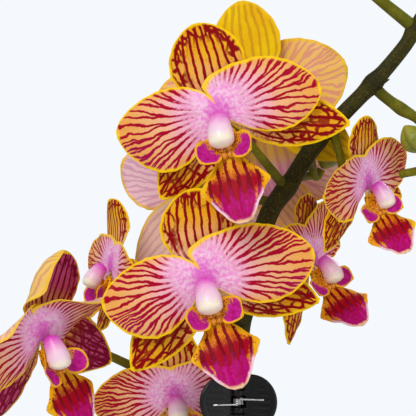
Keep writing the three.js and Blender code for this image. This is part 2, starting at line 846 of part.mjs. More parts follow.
// The spring's coil round the pin, with one arm along the front of each wing.
function clipSpring() {
  const coilR = PIN_HOLE_R + 0.6;
  const coil = prism(circle(coilR, 0, HINGE_Y), -SPRING_TOP, SPRING_TOP).subtract(pinHole);
  const wire = 0.35;
  const stand = WING_THICKNESS / 2 + GAP + wire;
  const arms = [-1, 1].map((side) => {
    const reach = vec(side * Math.cos(deg(WING_ANGLE)), -Math.sin(deg(WING_ANGLE)), 0);
    const front = vec(-side * Math.sin(deg(WING_ANGLE)), -Math.cos(deg(WING_ANGLE)), 0);
    const root = vec(0, HINGE_Y, CLIP_Z + side * 0.8);
    return tube(
      [
        root.clone().addScaledVector(front, coilR - 0.3),
        root.clone().addScaledVector(front, stand).addScaledVector(reach, WING_R * 1.05),
      ],
      [wire, wire],
      6,
      1,
    );
  });
  return join([coil, ...arms]);
}

addPiece("clip_left_half", join([clipHalf(-1, LEFT_EARS), pin]), CLIP_PLASTIC);
addPiece("clip_right_half", clipHalf(1, RIGHT_EARS).subtract(pinHole), CLIP_PLASTIC);
addPiece("clip_spring", clipSpring(), STEEL);

export default orchid;
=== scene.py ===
"""The looks of the potted orchid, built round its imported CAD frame.

Lengths in this file are millimetres until a mesh is made. Places on the spikes are measured from
a level on the stem just under the claw clip, and the rest come from the frame's own nodes.
"""
import math

import bpy
import numpy as np
from mathutils import Matrix, Vector


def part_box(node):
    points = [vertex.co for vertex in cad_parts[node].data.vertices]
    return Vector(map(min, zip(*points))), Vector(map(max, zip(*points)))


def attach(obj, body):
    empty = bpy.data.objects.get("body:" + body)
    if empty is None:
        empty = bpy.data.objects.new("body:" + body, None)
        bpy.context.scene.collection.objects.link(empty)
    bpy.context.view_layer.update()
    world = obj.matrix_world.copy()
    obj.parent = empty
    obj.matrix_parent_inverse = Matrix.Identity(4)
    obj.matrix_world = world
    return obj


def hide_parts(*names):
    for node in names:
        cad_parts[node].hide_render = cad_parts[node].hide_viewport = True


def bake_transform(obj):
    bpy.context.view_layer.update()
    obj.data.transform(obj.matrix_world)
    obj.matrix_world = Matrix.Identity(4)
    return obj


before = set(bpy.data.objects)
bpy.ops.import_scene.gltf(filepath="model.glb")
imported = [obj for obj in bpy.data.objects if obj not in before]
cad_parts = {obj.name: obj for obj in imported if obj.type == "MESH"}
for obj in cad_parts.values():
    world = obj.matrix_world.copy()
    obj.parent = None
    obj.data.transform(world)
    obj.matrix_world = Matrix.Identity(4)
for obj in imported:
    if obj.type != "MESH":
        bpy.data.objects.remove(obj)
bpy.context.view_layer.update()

MM = 0.001
PLANT = "plant"
RNG = np.random.default_rng(7)


def corners(node):
    """Lowest and highest corner of a CAD node, in millimetres."""
    low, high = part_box(node)
    return np.array(low) / MM, np.array(high) / MM


STAKE_ABOVE_CLIP = 6
CLIP_UP = 2  # the clip's middle, above the level that places on the spikes are measured from
STAKE_LOW, STAKE_HIGH = corners("support_stake")
STAKE_R = (STAKE_HIGH[0] - STAKE_LOW[0]) / 2
CLIP_Z = STAKE_HIGH[2] - STAKE_ABOVE_CLIP
DATUM_Z = CLIP_Z - CLIP_UP
POT_LOW, POT_HIGH = corners("cover_pot")
LINER_LOW, LINER_HIGH = corners("nursery_pot")
BARK_LOW, BARK_HIGH = corners("bark_mix")
BARK_TOP = BARK_HIGH[2]
CROWN_LOW, CROWN_HIGH = corners("plant_crown")
CROWN_Y = (CROWN_LOW[1] + CROWN_HIGH[1]) / 2
CROWN_R = (CROWN_HIGH[0] - CROWN_LOW[0]) / 2


def from_datum(places):
    """One place or many, measured from the datum on the stem, in the part's own frame."""
    return np.asarray(places, float) + [0, 0, DATUM_Z]


# ---- Small mathematics ----------------------------------------------------------------------
def mix(a, b, share):
    return a + (b - a) * share


def smooth(value, low, high):
    """0 below low, 1 above high, and a soft step between them."""
    x = np.clip((value - low) / (high - low), 0, 1)
    return x * x * (3 - 2 * x)


def unit(v):
    v = np.asarray(v, float)
    return v / np.maximum(np.linalg.norm(v, axis=-1, keepdims=True), 1e-12)


def full_turn(count):
    return np.arange(count) * 2 * np.pi / count


def with_third(flat, value):
    """Flat places with a third number, so that no two blades share a pattern."""
    return np.concatenate([flat, np.full(flat.shape[:2] + (1,), value)], -1)


def show(thing):
    bpy.context.scene.collection.objects.link(thing)


def spline(points, steps):
    """A centripetal Catmull-Rom curve through points, as steps + 1 places for each span, and the
    span number of each place."""
    p = np.asarray(points, float)
    p = np.vstack([2 * p[0] - p[1], p, 2 * p[-1] - p[-2]])
    made, at = [], []
    for i in range(1, len(p) - 2):
        gaps = [np.linalg.norm(p[k + 1] - p[k]) ** 0.5 for k in (i - 1, i, i + 1)]
        t = np.concatenate([[0], np.cumsum(gaps)])
        last = i == len(p) - 3
        for s in np.linspace(0, 1, steps + 1)[: steps + (1 if last else 0)]:
            x = mix(t[1], t[2], s)
            a = [p[i - 1 + k] + (p[i + k] - p[i - 1 + k]) * ((x - t[k]) / (t[k + 1] - t[k]))
                 for k in range(3)]
            b = [a[k] + (a[k + 1] - a[k]) * ((x - t[k]) / (t[k + 2] - t[k])) for k in range(2)]
            made.append(b[0] + (b[1] - b[0]) * ((x - t[1]) / (t[2] - t[1])))
            at.append(i - 1 + s)
    return np.array(made), np.array(at)


# ---- Meshes ---------------------------------------------------------------------------------
class Shape:
    """Gathers rings of points with their attributes, and makes one mesh object of them."""

    def __init__(self):
        self.points, self.faces, self.looks, self.values = [], [], [], {}
        self.count = 0

    def rings(self, points, look=0, closed_loop=False, **values):
        """points is (rings, sides, 3). Each value is a number or a vector for every point, or
        what spreads to that."""
        rows, sides = points.shape[:2]
        base = self.count
        index = base + np.arange(rows * sides).reshape(rows, sides)
        here, following = (index, np.roll(index, -1, axis=0)) if closed_loop else (
            index[:-1], index[1:])
        quads = np.stack([here, np.roll(here, -1, axis=1), np.roll(following, -1, axis=1),
                          following], -1)
        quads = quads.reshape(-1, 4)
        caps = []
        if not closed_loop:
            for ring, turn in ((index[0], 1), (index[-1], -1)):
                half = sides // 2
                for k in range(half - 1 + sides % 2):
                    corner = [ring[k], ring[k + 1], ring[sides - 2 - k], ring[sides - 1 - k]]
                    if len(set(corner)) == 4:
                        caps.append(corner[::-turn])
        quads = np.vstack([quads, np.array(caps, int).reshape(-1, 4)])
        flat = points.reshape(-1, 3)
        a, b, c, d = (flat[quads[:, k] - base] for k in range(4))
        volume = np.einsum("ij,ij->i", a, np.cross(b, c) + np.cross(c, d)).sum()
        if volume < 0:
            quads = quads[:, ::-1]
        self.points.append(flat)
        self.faces.append(quads)
        self.looks.append(np.full(len(quads), look))
        for name, value in values.items():
            value = np.asarray(value, float)
            width = 3 if value.shape[-1:] == (3,) and value.ndim != 2 else 1
            shape = (rows, sides, 3) if width == 3 else (rows, sides)
            value = np.broadcast_to(value, shape).reshape(-1, width)
            self.values.setdefault(name, {})[base] = value
        self.count += len(flat)

    def make(self, name, materials, body=PLANT, slot=None, replaces=()):
        points = np.vstack(self.points) * MM
        faces = np.vstack(self.faces)
        mesh = bpy.data.meshes.new(name)
        mesh.from_pydata(points.tolist(), [], faces.tolist())
        for key, blocks in self.values.items():
            width = next(iter(blocks.values())).shape[1]
            whole = np.zeros((self.count, width))
            for base, block in blocks.items():
                whole[base : base + len(block)] = block
            kind, field = (("FLOAT", "value"), ("FLOAT_VECTOR", "vector"))[width == 3]
            attribute = mesh.attributes.new(key, kind, "POINT")
            attribute.data.foreach_set(field, whole.astype(np.float32).ravel())
        for look in materials:
            mesh.materials.append(look)
        mesh.polygons.foreach_set("material_index", np.concatenate(self.looks).astype(np.int32))
        mesh.polygons.foreach_set("use_smooth", np.ones(len(faces), bool))
        mesh.update()
        piece = bpy.data.objects.new(name, mesh)
        show(piece)
        if body:
            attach(piece, body)
        if replaces:
            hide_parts(*replaces)
        return piece


def tube_rings(path, radii, sides):
    """Rings round a path of points, without twist."""
    along = unit(np.gradient(path, axis=0))
    across = np.array([1.0, 0, 0]) if abs(along[0][0]) < 0.8 else np.array([0, 1.0, 0])
    turn = full_turn(sides)
    rows = []
    for centre, way, radius in zip(path, along, radii):
        across = unit(across - way * (across @ way))
        up = np.cross(way, across)
        ring = np.outer(np.cos(turn) * radius, across) + np.outer(np.sin(turn) * radius, up)
        rows.append(centre + ring)
    return np.array(rows)


def lathe_rings(profile, sides):
    """Rings about the pot's axis from [radius, height] pairs."""
    turn = full_turn(sides)
    around = np.stack([np.cos(turn), np.sin(turn)], -1)
    return np.array([np.column_stack([r * around, np.full(sides, z)]) for r, z in profile])


# ---- Shader building ------------------------------------------------------------------------
def rgb(code):
    """A linear colour from six sRGB hex digits."""
    shares = [int(code[i : i + 2], 16) / 255 for i in (0, 2, 4)]
    return tuple(v / 12.92 if v <= 0.04045 else ((v + 0.055) / 1.055) ** 2.4 for v in shares) + (1,)


class Nodes:
    """A material's nodes. Every method returns the socket that holds its result."""

    def __init__(self, name, **shader):
        self.material = bpy.data.materials.new(name)
        self.material.use_nodes = True
        self.tree = self.material.node_tree
        self.shader = self.tree.nodes["Principled BSDF"]
        for socket, value in shader.items():
            self.shader.inputs[socket.replace("_", " ")].default_value = value

    def put(self, socket, value):
        if isinstance(value, bpy.types.NodeSocket):
            self.tree.links.new(value, socket)
        elif isinstance(value, str):
            socket.default_value = rgb(value)
        else:
            socket.default_value = value

    def add(self, kind, inputs=(), out=0, **settings):
        node = self.tree.nodes.new("ShaderNode" + kind)
        for key, value in settings.items():
            setattr(node, key, value)
        pairs = inputs.items() if isinstance(inputs, dict) else enumerate(inputs)
        for key, value in pairs:
            self.put(node.inputs[key], value)
        return node.outputs[out]

    def value(self, name):
        return self.add("Attribute", attribute_name=name, out="Fac")

    def values(self, names):
        return [self.value(name) for name in names.split()]

    def vector(self, name):
        return self.add("Attribute", attribute_name=name, out="Vector")

    def place(self, scale=1.0):
        """The object's own coordinates, in millimetres over scale."""
        at = self.add("TexCoord", out="Object")
        return self.add("VectorMath", [at, (0, 0, 0), (0, 0, 0), 1 / (MM * scale)],
                        out="Vector", operation="SCALE")

    def math(self, operation, *values, clamp=False):
        return self.add("Math", list(values), operation=operation, use_clamp=clamp)

    def times(self, a, b, clamp=False):
        return self.math("MULTIPLY", a, b, clamp=clamp)

    def less(self, a, b):
        return self.math("SUBTRACT", a, b)

    def shaken(self, value, noise, amount):
        """A value that a noise moves up and down by half the amount."""
        return self.math("MULTIPLY_ADD", self.less(noise, 0.5), amount, value)

    def stretched(self, vector, *shares):
        return self.add("VectorMath", [vector, shares], operation="MULTIPLY", out="Vector")

    def moved(self, vector, way):
        return self.add("VectorMath", [vector, way], operation="ADD", out="Vector")

    def step(self, value, low=0.3, high=0.7, start=0.0, end=1.0):
        inputs = {"Value": value, "From Min": low, "From Max": high, "To Min": start, "To Max": end}
        return self.add("MapRange", inputs, interpolation_type="SMOOTHSTEP", out="Result")

    def noise(self, vector, scale, detail=2.0, out="Fac"):
        inputs = {"Vector": vector, "Scale": scale, "Detail": detail}
        return self.add("TexNoise", inputs, out=out)

    def cells(self, vector, scale, feature="F1"):
        inputs = {"Vector": vector, "Scale": scale}
        return self.add("TexVoronoi", inputs, feature=feature, out="Distance")

    def blend(self, share, a, b, most=None):
        """Goes from a to b by share, times most."""
        share = share if most is None else self.times(share, most)
        node = self.tree.nodes.new("ShaderNodeMix")
        node.data_type = "RGBA"
        for key, value in (("Factor_Float", share), ("A_Color", a), ("B_Color", b)):
            socket = next(s for s in node.inputs if s.identifier == key)
            self.put(socket, value)
        return next(s for s in node.outputs if s.identifier == "Result_Color")

    def bump(self, height, distance, strength=1.0):
        inputs = {"Height": height, "Distance": distance * MM, "Strength": strength}
        self.put(self.shader.inputs["Normal"], self.add("Bump", inputs, out="Normal"))

    def finish(self, colour, roughness=None):
        self.put(self.shader.inputs["Base Color"], colour)
        if roughness is not None:
            self.put(self.shader.inputs["Roughness"], roughness)
        return self.material


def vein_mask(n, flat, along, width, wander, fork, forks=1.0):
    """Dark lines that start at whole values of the attribute vein and split in two, and in two
    again, on their way out. spread is how many millimetres one unit of vein takes there."""
    vein, spread = n.value("vein"), n.value("spread")
    slow = n.noise(flat, 0.16)
    quick = n.noise(flat, 0.75)
    shift = n.times(n.less(slow, 0.5), wander * 3)
    shake = n.times(n.less(quick, 0.5), wander * 0.4)
    moved = n.math("ADD", n.math("ADD", vein, shift), shake)
    number = n.math("ROUND", moved)
    chance, other = (n.add("TexWhiteNoise", {"W": seed}, noise_dimensions="1D", out="Value")
                     for seed in (number, n.math("ADD", number, 17.3)))
    away = n.math("ABSOLUTE", n.less(moved, number))
    first = n.math("MULTIPLY_ADD", chance, 0.3, fork)
    open1 = n.times(n.less(along, first), 4.0, clamp=True)
    away = n.math("ABSOLUTE", n.less(away, n.times(open1, 0.25 * forks)))
    second = n.math("ADD", first, n.math("MULTIPLY_ADD", other, 0.3, 0.16))
    open2 = n.times(n.less(along, second), 4.0, clamp=True)
    away = n.math("ABSOLUTE", n.less(away, n.times(open2, 0.125 * forks)))
    gap = n.times(away, spread)
    jag = n.noise(flat, 1.4)
    half = n.times(n.math("MULTIPLY_ADD", jag, 0.8, 0.6), width)
    return n.step(n.less(gap, half), 0.1, -0.1)


def dots(n, flat, scale, size, seed=0.0):
    """Small round spots of uneven size."""
    shifted = n.moved(flat, (seed, seed, seed))
    near = n.cells(shifted, scale)
    jag = n.noise(shifted, scale * 0.8, 1.0)
    limit = n.times(jag, size * 2)
    return n.step(n.less(near, limit), 0.06, -0.06)


def margin_of(n, rim, fine, colour, bright, low, high, most):
    """Paints the bright rim of a blade, a little uneven, over a colour."""
    return n.blend(n.step(n.shaken(rim, fine, 0.8), low, high), colour, bright, most)


def two_sided(n, front, back, face, fine, lines, grain, depth):
    """Ends a blade's look: its face in front and its back behind, with sunk stripes."""
    colour = n.blend(n.step(front, 0.35, 0.65), back, face)
    n.bump(n.math("MULTIPLY_ADD", fine, grain, n.times(lines, -depth)), 0.25, 0.5)
    return n.finish(colour, n.step(fine, 0.2, 0.8, 0.45, 0.6))


def petal_look():
    n = Nodes("petal_skin", Specular_IOR_Level=0.07)
    flat = n.vector("flat")
    along, rim, front, lower, blush = n.values("along rim front lower blush")
    cloud = n.noise(flat, 0.11, 3.0)
    fine = n.noise(flat, 0.9, 3.0)
    reach = n.shaken(along, cloud, 0.3)
    # The stripes break into dots and fade where the pale centre begins.
    lines = vein_mask(n, flat, along, width=0.36, wander=0.3, fork=0.34)
    begin = n.shaken(reach, fine, 0.28)
    shown = n.times(lines, n.step(begin, 0.3, 0.44))
    specks = n.times(dots(n, flat, 1.3, 0.13), n.step(reach, 0.2, 0.42))
    specks = n.times(specks, 0.55)
    # Ground colour from the pink-lilac middle through cream to peach and the yellow margin.
    pink = n.blend(n.step(fine), "F090D0", "F7D0E2")
    peach = n.blend(n.step(cloud, 0.35, 0.65), "F0AE74", "F2B888")
    ground = n.blend(n.step(reach, 0.24, 0.52), pink, "F2B0B6")
    ground = n.blend(n.step(reach, 0.42, 0.68), ground, peach)
    outer = n.math("MAXIMUM", n.times(n.step(reach, 0.6, 0.98), 0.75),
                   n.times(n.step(rim, 4.5, 1.0), 0.6))
    outer = n.times(outer, n.step(reach, 0.3, 0.6))
    ground = n.blend(outer, ground, "E9A034")
    heart = n.step(n.shaken(along, fine, 0.1), 0.24, 0.06)
    ground = n.blend(heart, ground, "DE54C2", 0.9)
    red = n.blend(n.step(reach, 0.3, 0.5), "B81C5E", "AA0026")
    deep = n.times(lower, n.step(along, 0.55, 0.95))
    red = n.blend(deep, red, "A00C58", 0.6)
    face = n.blend(shown, ground, red)
    face = n.blend(specks, face, "B01848")
    face = margin_of(n, rim, fine, face, "FCCC08", 1.15, 0.35, 0.95)
    # The back is paler, and the stripes show through it.
    back = n.blend(blush, n.blend(n.step(cloud), "F4C07A", "F4C456"), "F2CBD6")
    back = n.blend(n.step(reach, 0.5, 0.15), back, "F0D9A8")
    back = n.blend(n.times(lines, n.step(reach, 0.1, 0.5, 0.25, 0.55)), back,
                   n.blend(blush, "D9758C", "CF86B4"))
    back = margin_of(n, rim, fine, back, "F6C81E", 1.6, 0.5, 0.8)
    return two_sided(n, front, back, face, fine, lines, 0.25, 0.35)


def sepal_look():
    n = Nodes("sepal_skin", Specular_IOR_Level=0.07)
    flat = n.vector("flat")
    along, rim, front, spotty, blush, wine = n.values("along rim front spotty blush wine")
    cloud = n.noise(flat, 0.12, 3.0)
    fine = n.noise(flat, 0.9, 3.0)
    reach = n.shaken(along, cloud, 0.22)
    lines = vein_mask(n, flat, along, width=0.42, wander=0.26, fork=0.8, forks=0.8)
    # Cross lines join the stripes near the margins.
    stretched = n.stretched(flat, 0.55, 1.0, 1.0)
    bent = n.moved(stretched, n.noise(flat, 0.5, 1.0, out="Color"))
    web = n.cells(bent, 0.42, "DISTANCE_TO_EDGE")
    net = n.step(web, 0.16, 0.06)
    near_edge = n.step(n.shaken(rim, fine, 3.0), 6.6, 3.4)
    net = n.times(net, n.math("MAXIMUM", near_edge, n.times(spotty, 0.9)))
    net = n.times(net, n.step(along, 0.25, 0.45))
    marks = n.math("MAXIMUM", lines, net)
    begin = n.shaken(reach, fine, 0.3)
    marks = n.times(marks, n.step(begin, 0.14, 0.32))
    specks = n.times(dots(n, flat, 1.1, 0.15, 3.0), n.step(along, 0.12, 0.3))
    base_spots = n.times(dots(n, flat, 1.5, 0.3, 9.0), n.step(along, 0.62, 0.4))
    base_spots = n.times(base_spots, spotty)
    specks = n.math("MAXIMUM", n.times(specks, 0.7), base_spots)
    gold = n.blend(n.step(cloud), "E2960E", "EBAE1C")
    peach = n.blend(n.step(cloud, 0.35, 0.65), "EFB27A", "EDAA4C")
    gold = n.blend(n.step(reach, 0.75, 0.3), gold, peach)
    pale = n.blend(spotty, "F5D5DC", "F1CF9C")
    ground = n.blend(n.step(reach, 0.36, 0.12), gold, pale)
    ground = n.blend(n.times(wine, n.step(along, 0.3, 0.6)), ground, "C64C78")
    red = n.blend(n.step(reach, 0.2, 0.4), "AA1444", "8A000C")
    red = n.blend(n.times(wine, n.step(along, 0.35, 0.7)), red, "7E032C")
    face = n.blend(marks, ground, red)
    face = n.blend(specks, face, "8E0C18")
    face = margin_of(n, rim, fine, face, "FACA08", 1.25, 0.4, 0.95)
    back = n.blend(blush, n.blend(n.step(cloud), "EAB20A", "F4CE10"), "F2C8BA")
    back = n.blend(n.step(reach, 0.45, 0.1), back, "D9C86A")
    back = n.blend(lines, back, n.blend(blush, "B4781E", "CB8FA8"), 0.5)
    back = margin_of(n, rim, fine, back, "F6C81E", 1.5, 0.5, 0.7)
    return two_sided(n, front, back, face, fine, lines, 0.3, 0.4)


def lip_look():
    n = Nodes("lip_skin", Specular_IOR_Level=0.06)
    flat = n.vector("flat")
    along, rim, front = n.values("along rim front")
    fine = n.noise(flat, 0.8, 3.0)
    broad = n.noise(flat, 0.2)
    lines = vein_mask(n, flat, along, width=0.5, wander=0.24, fork=0.5)
    place = n.shaken(along, fine, 0.2)
    place = n.math("MULTIPLY_ADD", lines, 0.1, place)
    gold = n.blend(n.step(broad), "E89A08", "F2BA1A")
    orange = n.blend(n.step(broad), "D9700C", "E6960E")
    ragged = n.shaken(rim, fine, 3.2)
    inner = n.step(ragged, 1.2, 3.6)
    top = n.blend(n.times(inner, n.step(along, 0.3, 0.42)), gold, orange)
    red_zone = n.times(inner, n.step(place, 0.43, 0.58))
    top = n.blend(red_zone, top, "A2001C")
    stripes = n.times(n.times(lines, n.step(along, 0.28, 0.38)),
                     n.step(ragged, 0.6, 1.8))
    top = n.blend(stripes, top, "7A0310")
    magenta = n.blend(n.step(fine, 0.35, 0.65), "B80664", "CC1290")
    magenta = n.blend(lines, magenta, "960236", 0.5)
    edge = n.shaken(rim, fine, 1.3)
    pale = n.blend(n.step(along, 0.86, 0.97), "F2C9D4", "F0BE92")
    low = n.blend(n.step(edge, 1.3, 0.4), magenta, pale)
    face = n.blend(n.step(place, 0.71, 0.86), top, low)
    freckles = dots(n, flat, 1.35, 0.36)
    face = n.blend(n.times(freckles, n.step(along, 0.36, 0.26)), face, "7C1018")
    spots = n.times(dots(n, flat, 0.9, 0.2, 5.0), n.step(along, 0.34, 0.42))
    face = n.blend(n.times(spots, n.step(place, 0.74, 0.62)), face, "900C1C")
    back = n.blend(n.step(along, 0.45, 0.7), "F0C25A", "E9A9CC")
    back = n.blend(lines, back, "C0508C", 0.35)
    colour = n.blend(n.step(front, 0.35, 0.65), back, face)
    n.bump(n.math("MULTIPLY_ADD", fine, 0.5, n.times(lines, 0.3)), 0.3, 0.6)
    return n.finish(colour, n.step(fine, 0.2, 0.8, 0.36, 0.5))


def side_lobe_look():
    n = Nodes("side_lobe_skin", Roughness=0.42, Specular_IOR_Level=0.08)
    flat, along, rim = n.vector("flat"), n.value("along"), n.value("rim")
    fine = n.noise(flat, 0.7, 3.0)
    magenta = n.blend(n.step(fine), "AA0E74", "C42490")
    gold = n.blend(dots(n, flat, 1.5, 0.34, 4.0), "E49A20", "8C1010")
    place = n.shaken(along, fine, 0.5)
    magenta = n.blend(n.step(place, 0.56, 0.38), magenta, gold)
    edge = n.shaken(rim, fine, 0.9)
    colour = n.blend(n.step(edge, 1.0, 0.4), magenta, "F2B41C")
    n.bump(fine, 0.2, 0.5)
    return n.finish(colour)


def callus_look():
    n = Nodes("callus_skin", Roughness=0.34, Specular_IOR_Level=0.5)
    flat = n.vector("flat")
    ground = n.blend(n.noise(flat, 0.4), "E88A1E", "F2AE34")
    colour = n.blend(dots(n, flat, 1.6, 0.34, 2.0), ground, "7E1420")
    n.bump(n.noise(flat, 1.5), 0.2, 0.6)
    return n.finish(colour)


def column_look():
    n = Nodes("column_skin", Roughness=0.32, Subsurface_Weight=0.2, Subsurface_Scale=1.0 * MM,
              Specular_IOR_Level=0.5)
    flat, along = n.vector("flat"), n.value("along")
    fine = n.noise(flat, 0.5, 3.0)
    place = n.shaken(along, fine, 0.2)
    colour = n.blend(n.step(place, 0.04, 0.38), "DA3CBE", "EE98D2")
    colour = n.blend(n.step(place, 0.25, 0.6), colour, "F5D0E0")
    colour = n.blend(n.step(place, 0.62, 0.85), colour, "FAEBD4")
    n.bump(fine, 0.15, 0.4)
    return n.finish(colour, n.step(fine, 0.2, 0.8, 0.26, 0.4))


# ---- Flowers --------------------------------------------------------------------------------
# For each flower: the way it faces (turn), how far its face is raised (tilt), its roll and its
# scale, as in the CAD source; its place comes from the frame. fan lists blades that differ from
# PLAIN_FAN: angle in the flower's face, lean forward, share of the length and twist. curl lists
# blades whose margins roll forward, as degrees for the left and the right side of the blade.
PLAIN_FAN = {
    "dorsal": (90, -9, 1, 0),
    "rightPetal": (1, 3, 1, 0),
    "leftPetal": (179, 3, 1, 0),
    "leftSepal": (221, -13, 1, 0),
    "rightSepal": (-22, -13, 1, 0),
    "lip": (-90, 32, -12, 0),
}
FLOWERS = [
    dict(turn=-8, tilt=-5, roll=13, scale=1, fan={
        "dorsal": (93, -9, 0.98), "rightPetal": (1, 3, 0.95), "leftPetal": (178, 3, 0.97),
        "leftSepal": (221, -13, 0.9), "rightSepal": (-18, -10, 1.08), "lip": (-87, 32, -12)},
        wide={"leftPetal": (0.8, 1.12), "rightPetal": (0.74, 1.06)}, lobe={"leftPetal": 0}),
    dict(turn=2, tilt=-5, roll=11, scale=1, fan={
        "dorsal": (85, -9, 0.95), "rightPetal": (2, 3, 1.03), "leftPetal": (184, 3, 0.96),
        "leftSepal": (222, -13, 1), "rightSepal": (-23, -13, 1), "lip": (-82, 32, -12)},
        wide={"leftPetal": (0.8, 1.08), "rightPetal": (0.9, 1.02)}, lobe={"leftPetal": 0}),
    dict(turn=43, tilt=-18, roll=14, scale=0.92, fan={
        "dorsal": (66, -7, 0.98), "leftPetal": (193, 3, 1), "rightPetal": (10, 4, 0.85, 40),
        "leftSepal": (236, -10, 1), "rightSepal": (-34, -11, 1.08), "lip": (-76, 33, -6)},
        curl={"dorsal": (0, 150), "leftPetal": (110, 0), "rightPetal": (0, 60)},
        wide={"dorsal": (1.0, 1.45), "rightSepal": (1.2, 1.25)}, wine=1.0),
    dict(turn=5, tilt=-5, roll=7, scale=0.79, fan={}),
    dict(turn=55, tilt=-5, roll=12, scale=0.76, fan={
        "dorsal": (76, -7, 0.95), "rightPetal": (12, 3, 0.95), "lip": (-104, 38, 20)},
        curl={"leftPetal": (35, 35)}, lip_side=-1.0),
    dict(turn=60, tilt=0, roll=0, scale=0.82, fan={
        "dorsal": (78, -9, 0.88), "rightPetal": (42, 3, 0.85), "leftSepal": (246, -10, 1),
        "rightSepal": (-14, -16, 0.8), "lip": (-96, 42, 16)}, lip_side=-1.0),
    dict(turn=168, tilt=0, roll=-9, scale=1.05, fan={"leftPetal": (170, 3, 0.86)}, blush=0,
         wide={"dorsal": (0.88, 0.88)}),
    dict(turn=192, tilt=0, roll=0, scale=0.9, fan={
        "rightPetal": (19, 3, 0.9), "leftPetal": (176, 3, 0.75), "rightSepal": (-50, -10, 1)},
        blush=1),
    dict(turn=-70, tilt=0, roll=0, scale=0.74, fan={
        "dorsal": (102, -3, 1), "rightPetal": (-25, 3, 1), "leftSepal": (235, -5, 1),
        "lip": (-90, 15, 60)}, wide={"dorsal": (1.2, 1.2)}, curl={"dorsal": (-25, -25)}),
    dict(turn=165, tilt=0, roll=0, scale=0.86, fan={"leftSepal": (228, -13, 1)}, blush=0.6),
]
COLUMN_MIDDLE = np.array([0, -4.2, 6.9])
COLUMN_AXIS = unit([0, -0.82, 0.57])

# Each blade's size at scale 1. left and right are (widest, base, full) for the two sides of its
# middle line, point is how blunt its tip is, and ripple is (height, waves) along its margins.
DORSAL = dict(length=28.5, width=23.5, left=(0.56, 0.3, 0.72), right=(0.56, 0.3, 0.72), point=0.55,
              bend=-8, reflex=0.08, groove=0.25, ripple=(0.25, 2), z=-0.6)
LATERAL = dict(length=36, width=17.5, left=(0.5, 0.3, 0.85), right=(0.5, 0.3, 0.85), point=0.72,
               bend=-16, reflex=0.15, groove=0.35, ripple=(0.35, 2.5), z=-0.6)
PETAL = dict(length=33, width=26, left=(0.56, 0.2, 0.66), right=(0.43, 0.2, 0.55), point=0.55,
             bend=6, reflex=0.1, groove=0.3, ripple=(0.5, 2.3), back=(0, 7.0), z=0.9)
TEPAL_THICKNESS = 0.95


def oval(u, widest, base, full, point):
    """The share of the half width at u of the length, widest at the share widest."""
    power = math.log(0.5) / math.log(widest)
    share = np.sin(np.pi * np.clip(u, 0, 1) ** power) ** mix(full, point, u)
    return np.maximum(mix(base, 0.1, u), share)


